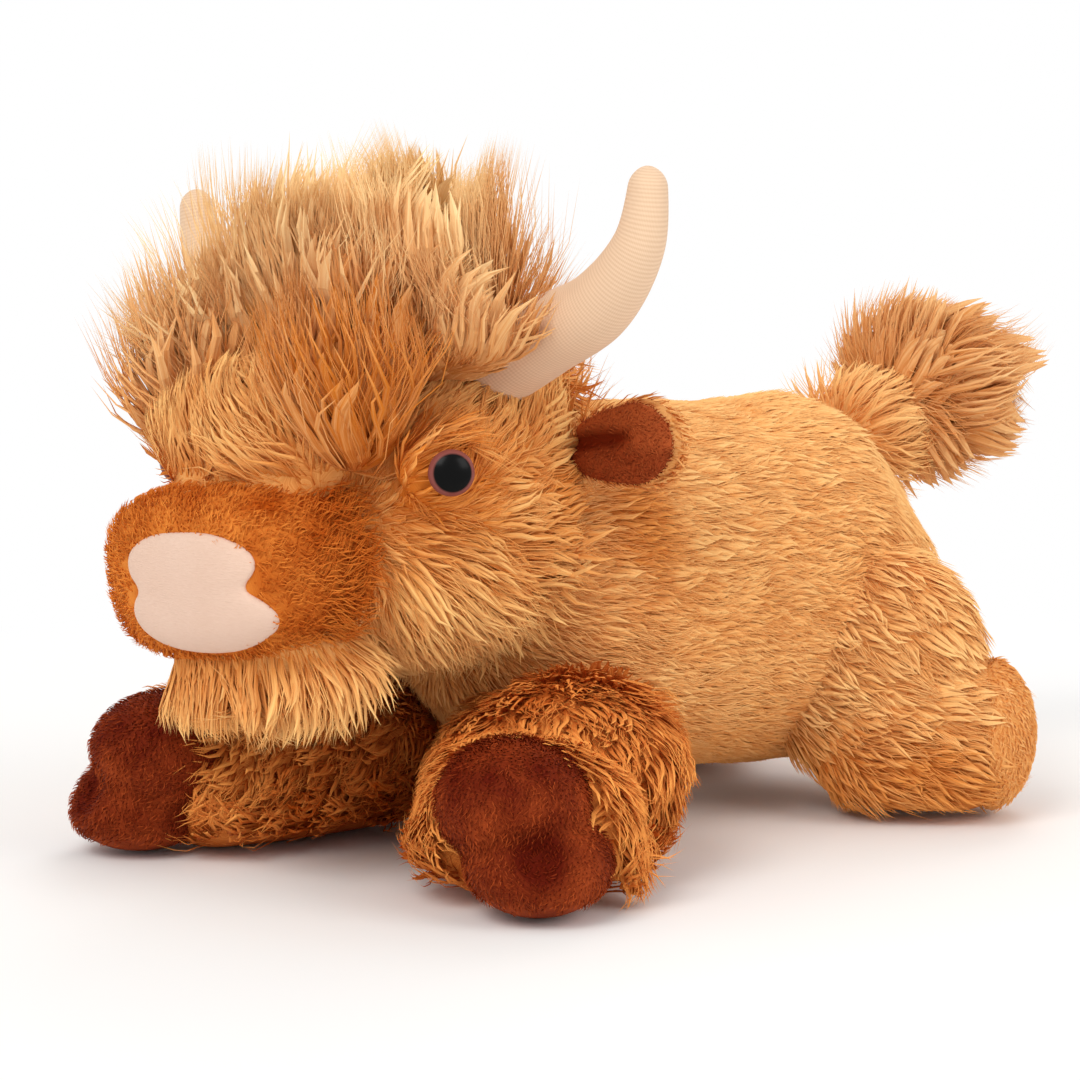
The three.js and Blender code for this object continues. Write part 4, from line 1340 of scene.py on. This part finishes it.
def make_ear(side, sign):
    """A furry back with a lining of short pile on its front, both creased at the root."""
    root = (sign * EAR.side, EAR.back, EAR.root)
    tip = (sign * (EAR.side + EAR.length), EAR.back + EAR.sweep, EAR.root + EAR.climb)
    shares = (0.42, 0.76, 0.94, 0.88)

    def leaf(name, ends, half_thickness, half_height, domes, sides, rings):
        sections = [(half_thickness, half_height * share, half_height * share) for share in shares]
        mesh = form(f"{side} {name}", HEAD, ends, (0, -1, 0), sections, domes, sides=sides, rings=rings)
        fold_into_crease(mesh)
        return mesh

    back = leaf("ear skin", [root, tip], 5, EAR.half_height, (5, 16), 36, 30)
    comb(back, HEAD, ear_coat(sign))
    wear = (f"ear_{side}", "golden_fur", MATERIALS["golden fur"])
    skin = dress(back, f"{side} ear skin", *wear, [f"ear_cover_{side}"], 0.3)
    grow(f"{side} ear coat", skin, wear, 70 + sign, spacing=1.7, width=0.9)

    ahead, further_out = 4.6, sign * 4
    ends = [(root[0] + further_out, root[1] - ahead, root[2]), (tip[0], tip[1] - ahead, tip[2])]
    front = leaf("ear facing", ends, 2.6, EAR.half_height - 1, (5, 15), 48, 40)
    comb(front, HEAD, ear_pile(sign), shown=0.5)
    wear = (f"ear_{side}", "brown_pile", MATERIALS["ear pile"])
    make_pile(
        front, (f"{side} ear facing", f"{side} ear pile"), wear, f"ear_lining_{side}", 74 + sign, 0.2,
        spacing=0.9, width=0.55, thickness=0.35, lock_spacing=3, gather=0.4, stray=0.8, wave=0.3,
    )


def crease_share(at):
    """1 along the fold that starts at an ear's root, and 0 away from it."""
    x, _, z = at.T
    along = (np.abs(x) - EAR.side) / EAR.length
    return hump(z, EAR.root + 2 + 4 * along, 3) * ramp(along, 0.75, 0.5)


def fold_into_crease(mesh):
    """Draws an ear's skin back along its crease."""
    def folded(at):
        at[:, 1] += 4 * crease_share(at)
    reshape(mesh, HEAD, folded)


def make_tail():
    wear = ("tail", "golden_fur", MATERIALS["golden fur"])
    skin = stuffed_skin(
        "tail skin", ["tail_stuffing"], TAIL_FRAME, tail_coat, wear, ["tail_cover", "tail_stuffing"],
        voxel=3.2,
    )
    grow_layers(
        "tail", skin, wear, [("locks", 20, WISPS, 2.4, 4), ("strands", 21, STRANDS, 1.4, 3)],
        lock_spacing=8, gather=0.7, stray=0.1, lock_lean=0.35, tone_scatter=0.3,
    )
    wear = ("tail", "tuft_fur", MATERIALS["lock fur"])
    mesh = form(
        "tuft skin", TAIL_FRAME, [(0, 22, TAIL.tuft - 7), (0, 70, TAIL.tuft - 5)], (1, 0, 0),
        [(26, 23, 20), (27, 24, 21), (25, 21, 20)], (22, 26), sides=32, rings=24,
    )
    tuft = combed_skin(mesh, "tuft skin", TAIL_FRAME, tuft_coat, wear, ["tail_tuft"], fill=0.5)
    layers = [("locks", 22, LOCKS, 3.1, 6), ("wisps", 23, WISPS, 2.2, 5), ("strands", 24, STRANDS, 1.4, 4)]
    grow_layers(
        "tuft", tuft, wear, layers, lock_spacing=17, gather=0.9, wave=0.1, stray=0.06, lock_lean=0.6,
        length_scatter=0.5, tone_scatter=0.16,
    )


def make_leg(kind, leg, side, place, field, fur, layers, **coat):
    """A leg's stuffed skin and its coat, whose seeds are a layer's own with the side's sign added."""
    wear = (f"{kind}_leg_{side}", "leg_fur", fur)
    skin = stuffed_skin(
        f"{side} {kind} leg skin", [], place, field, wear,
        [f"{kind}_leg_cover_{side}", f"{kind}_leg_stuffing_{side}"], voxel=3.6, extras=leg_parts(leg, place),
    )
    sided = [(title, seed + SIDES[side], *rest) for title, seed, *rest in layers]
    grow_layers(f"{side} {kind} leg", skin, wear, sided, lock_spacing=7, **coat)


def hoof_mesh(place):
    """Two toes grown together, with a dimple in their front."""
    toes = bmesh.new()
    for centre, radii in ((HOOF.upper, HOOF.upper_radii), (HOOF.lower, HOOF.lower_radii)):
        toes.from_mesh(ball("toe", place, centre, radii, 4))
    mesh = remeshed(mesh_from(toes, "toes"), 1.8, 8)
    rest_on_floor(mesh)

    def dimpled(at):
        at[:, 0] -= 9 * dimple_share(at)
    reshape(mesh, place, dimpled)
    mesh.shade_smooth()
    return mesh


def make_front_leg(side, sign):
    place = leg_frame(FRONT_LEG, side)
    make_leg(
        "front", FRONT_LEG, side, place, front_leg_coat, MATERIALS["leg fur"],
        [("locks", 30, WISPS, 2.1, 4), ("strands", 50, STRANDS, 1.45, 4)],
        gather=0.65, wave=0.16, stray=0.2, lock_lean=0.6, tone_scatter=0.34,
    )
    mesh = hoof_mesh(place)
    comb(mesh, place, hoof_pile, shown=0.4, mottle=0.4)
    wear = (f"front_leg_{side}", "brown_pile", MATERIALS["brown pile"])
    make_pile(
        mesh, (f"{side} front hoof", f"{side} hoof pile"), wear, f"front_hoof_{side}", 34 + sign,
        spacing=0.95, width=0.5, thickness=0.35, tone_scatter=0.5, lock_spacing=3, gather=0.3, stray=0.6,
        wave=0.2,
    )


def make_rear_leg(side, sign):
    place = leg_frame(REAR_LEG, side)
    make_leg(
        "rear", REAR_LEG, side, place, rear_leg_coat, MATERIALS["golden fur"],
        [("locks", 40, WISPS, 2.5, 3), ("strands", 60, STRANDS, 1.45, 2)],
        gather=0.6, stray=0.12, lock_lean=0.3, tone_scatter=0.3,
    )
    mesh = form(
        f"{side} rear sole", place, [(REAR_LEG.seam - 12, 0, 28), (REAR_LEG.seam + 12, 0, 28)], (0, -1, 0),
        [(29, 26, 27.6), (29, 26, 27.6)], (12, 18), sides=48, rings=24,
    )
    comb(mesh, place, sole_pile, shown=0.5)
    wear = (f"rear_leg_{side}", "golden_fur", MATERIALS["golden fur"])
    make_pile(
        mesh, (f"{side} rear sole", f"{side} sole pile"), wear, f"rear_sole_{side}", 44 + sign,
        spacing=1.25, width=0.9, thickness=0.5, lock_spacing=3, gather=0.4, stray=0.6, wave=0.2,
    )


def make_washers():
    for side in SIDES:
        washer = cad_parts[f"eye_washer_{side}"]
        washer.data.materials.clear()
        washer.data.materials.append(MATERIALS["washer plastic"])


make_studio()
make_trunk()
make_head()
make_tail()
for leg_side, leg_sign in SIDES.items():
    make_front_leg(leg_side, leg_sign)
    make_rear_leg(leg_side, leg_sign)
make_washers()
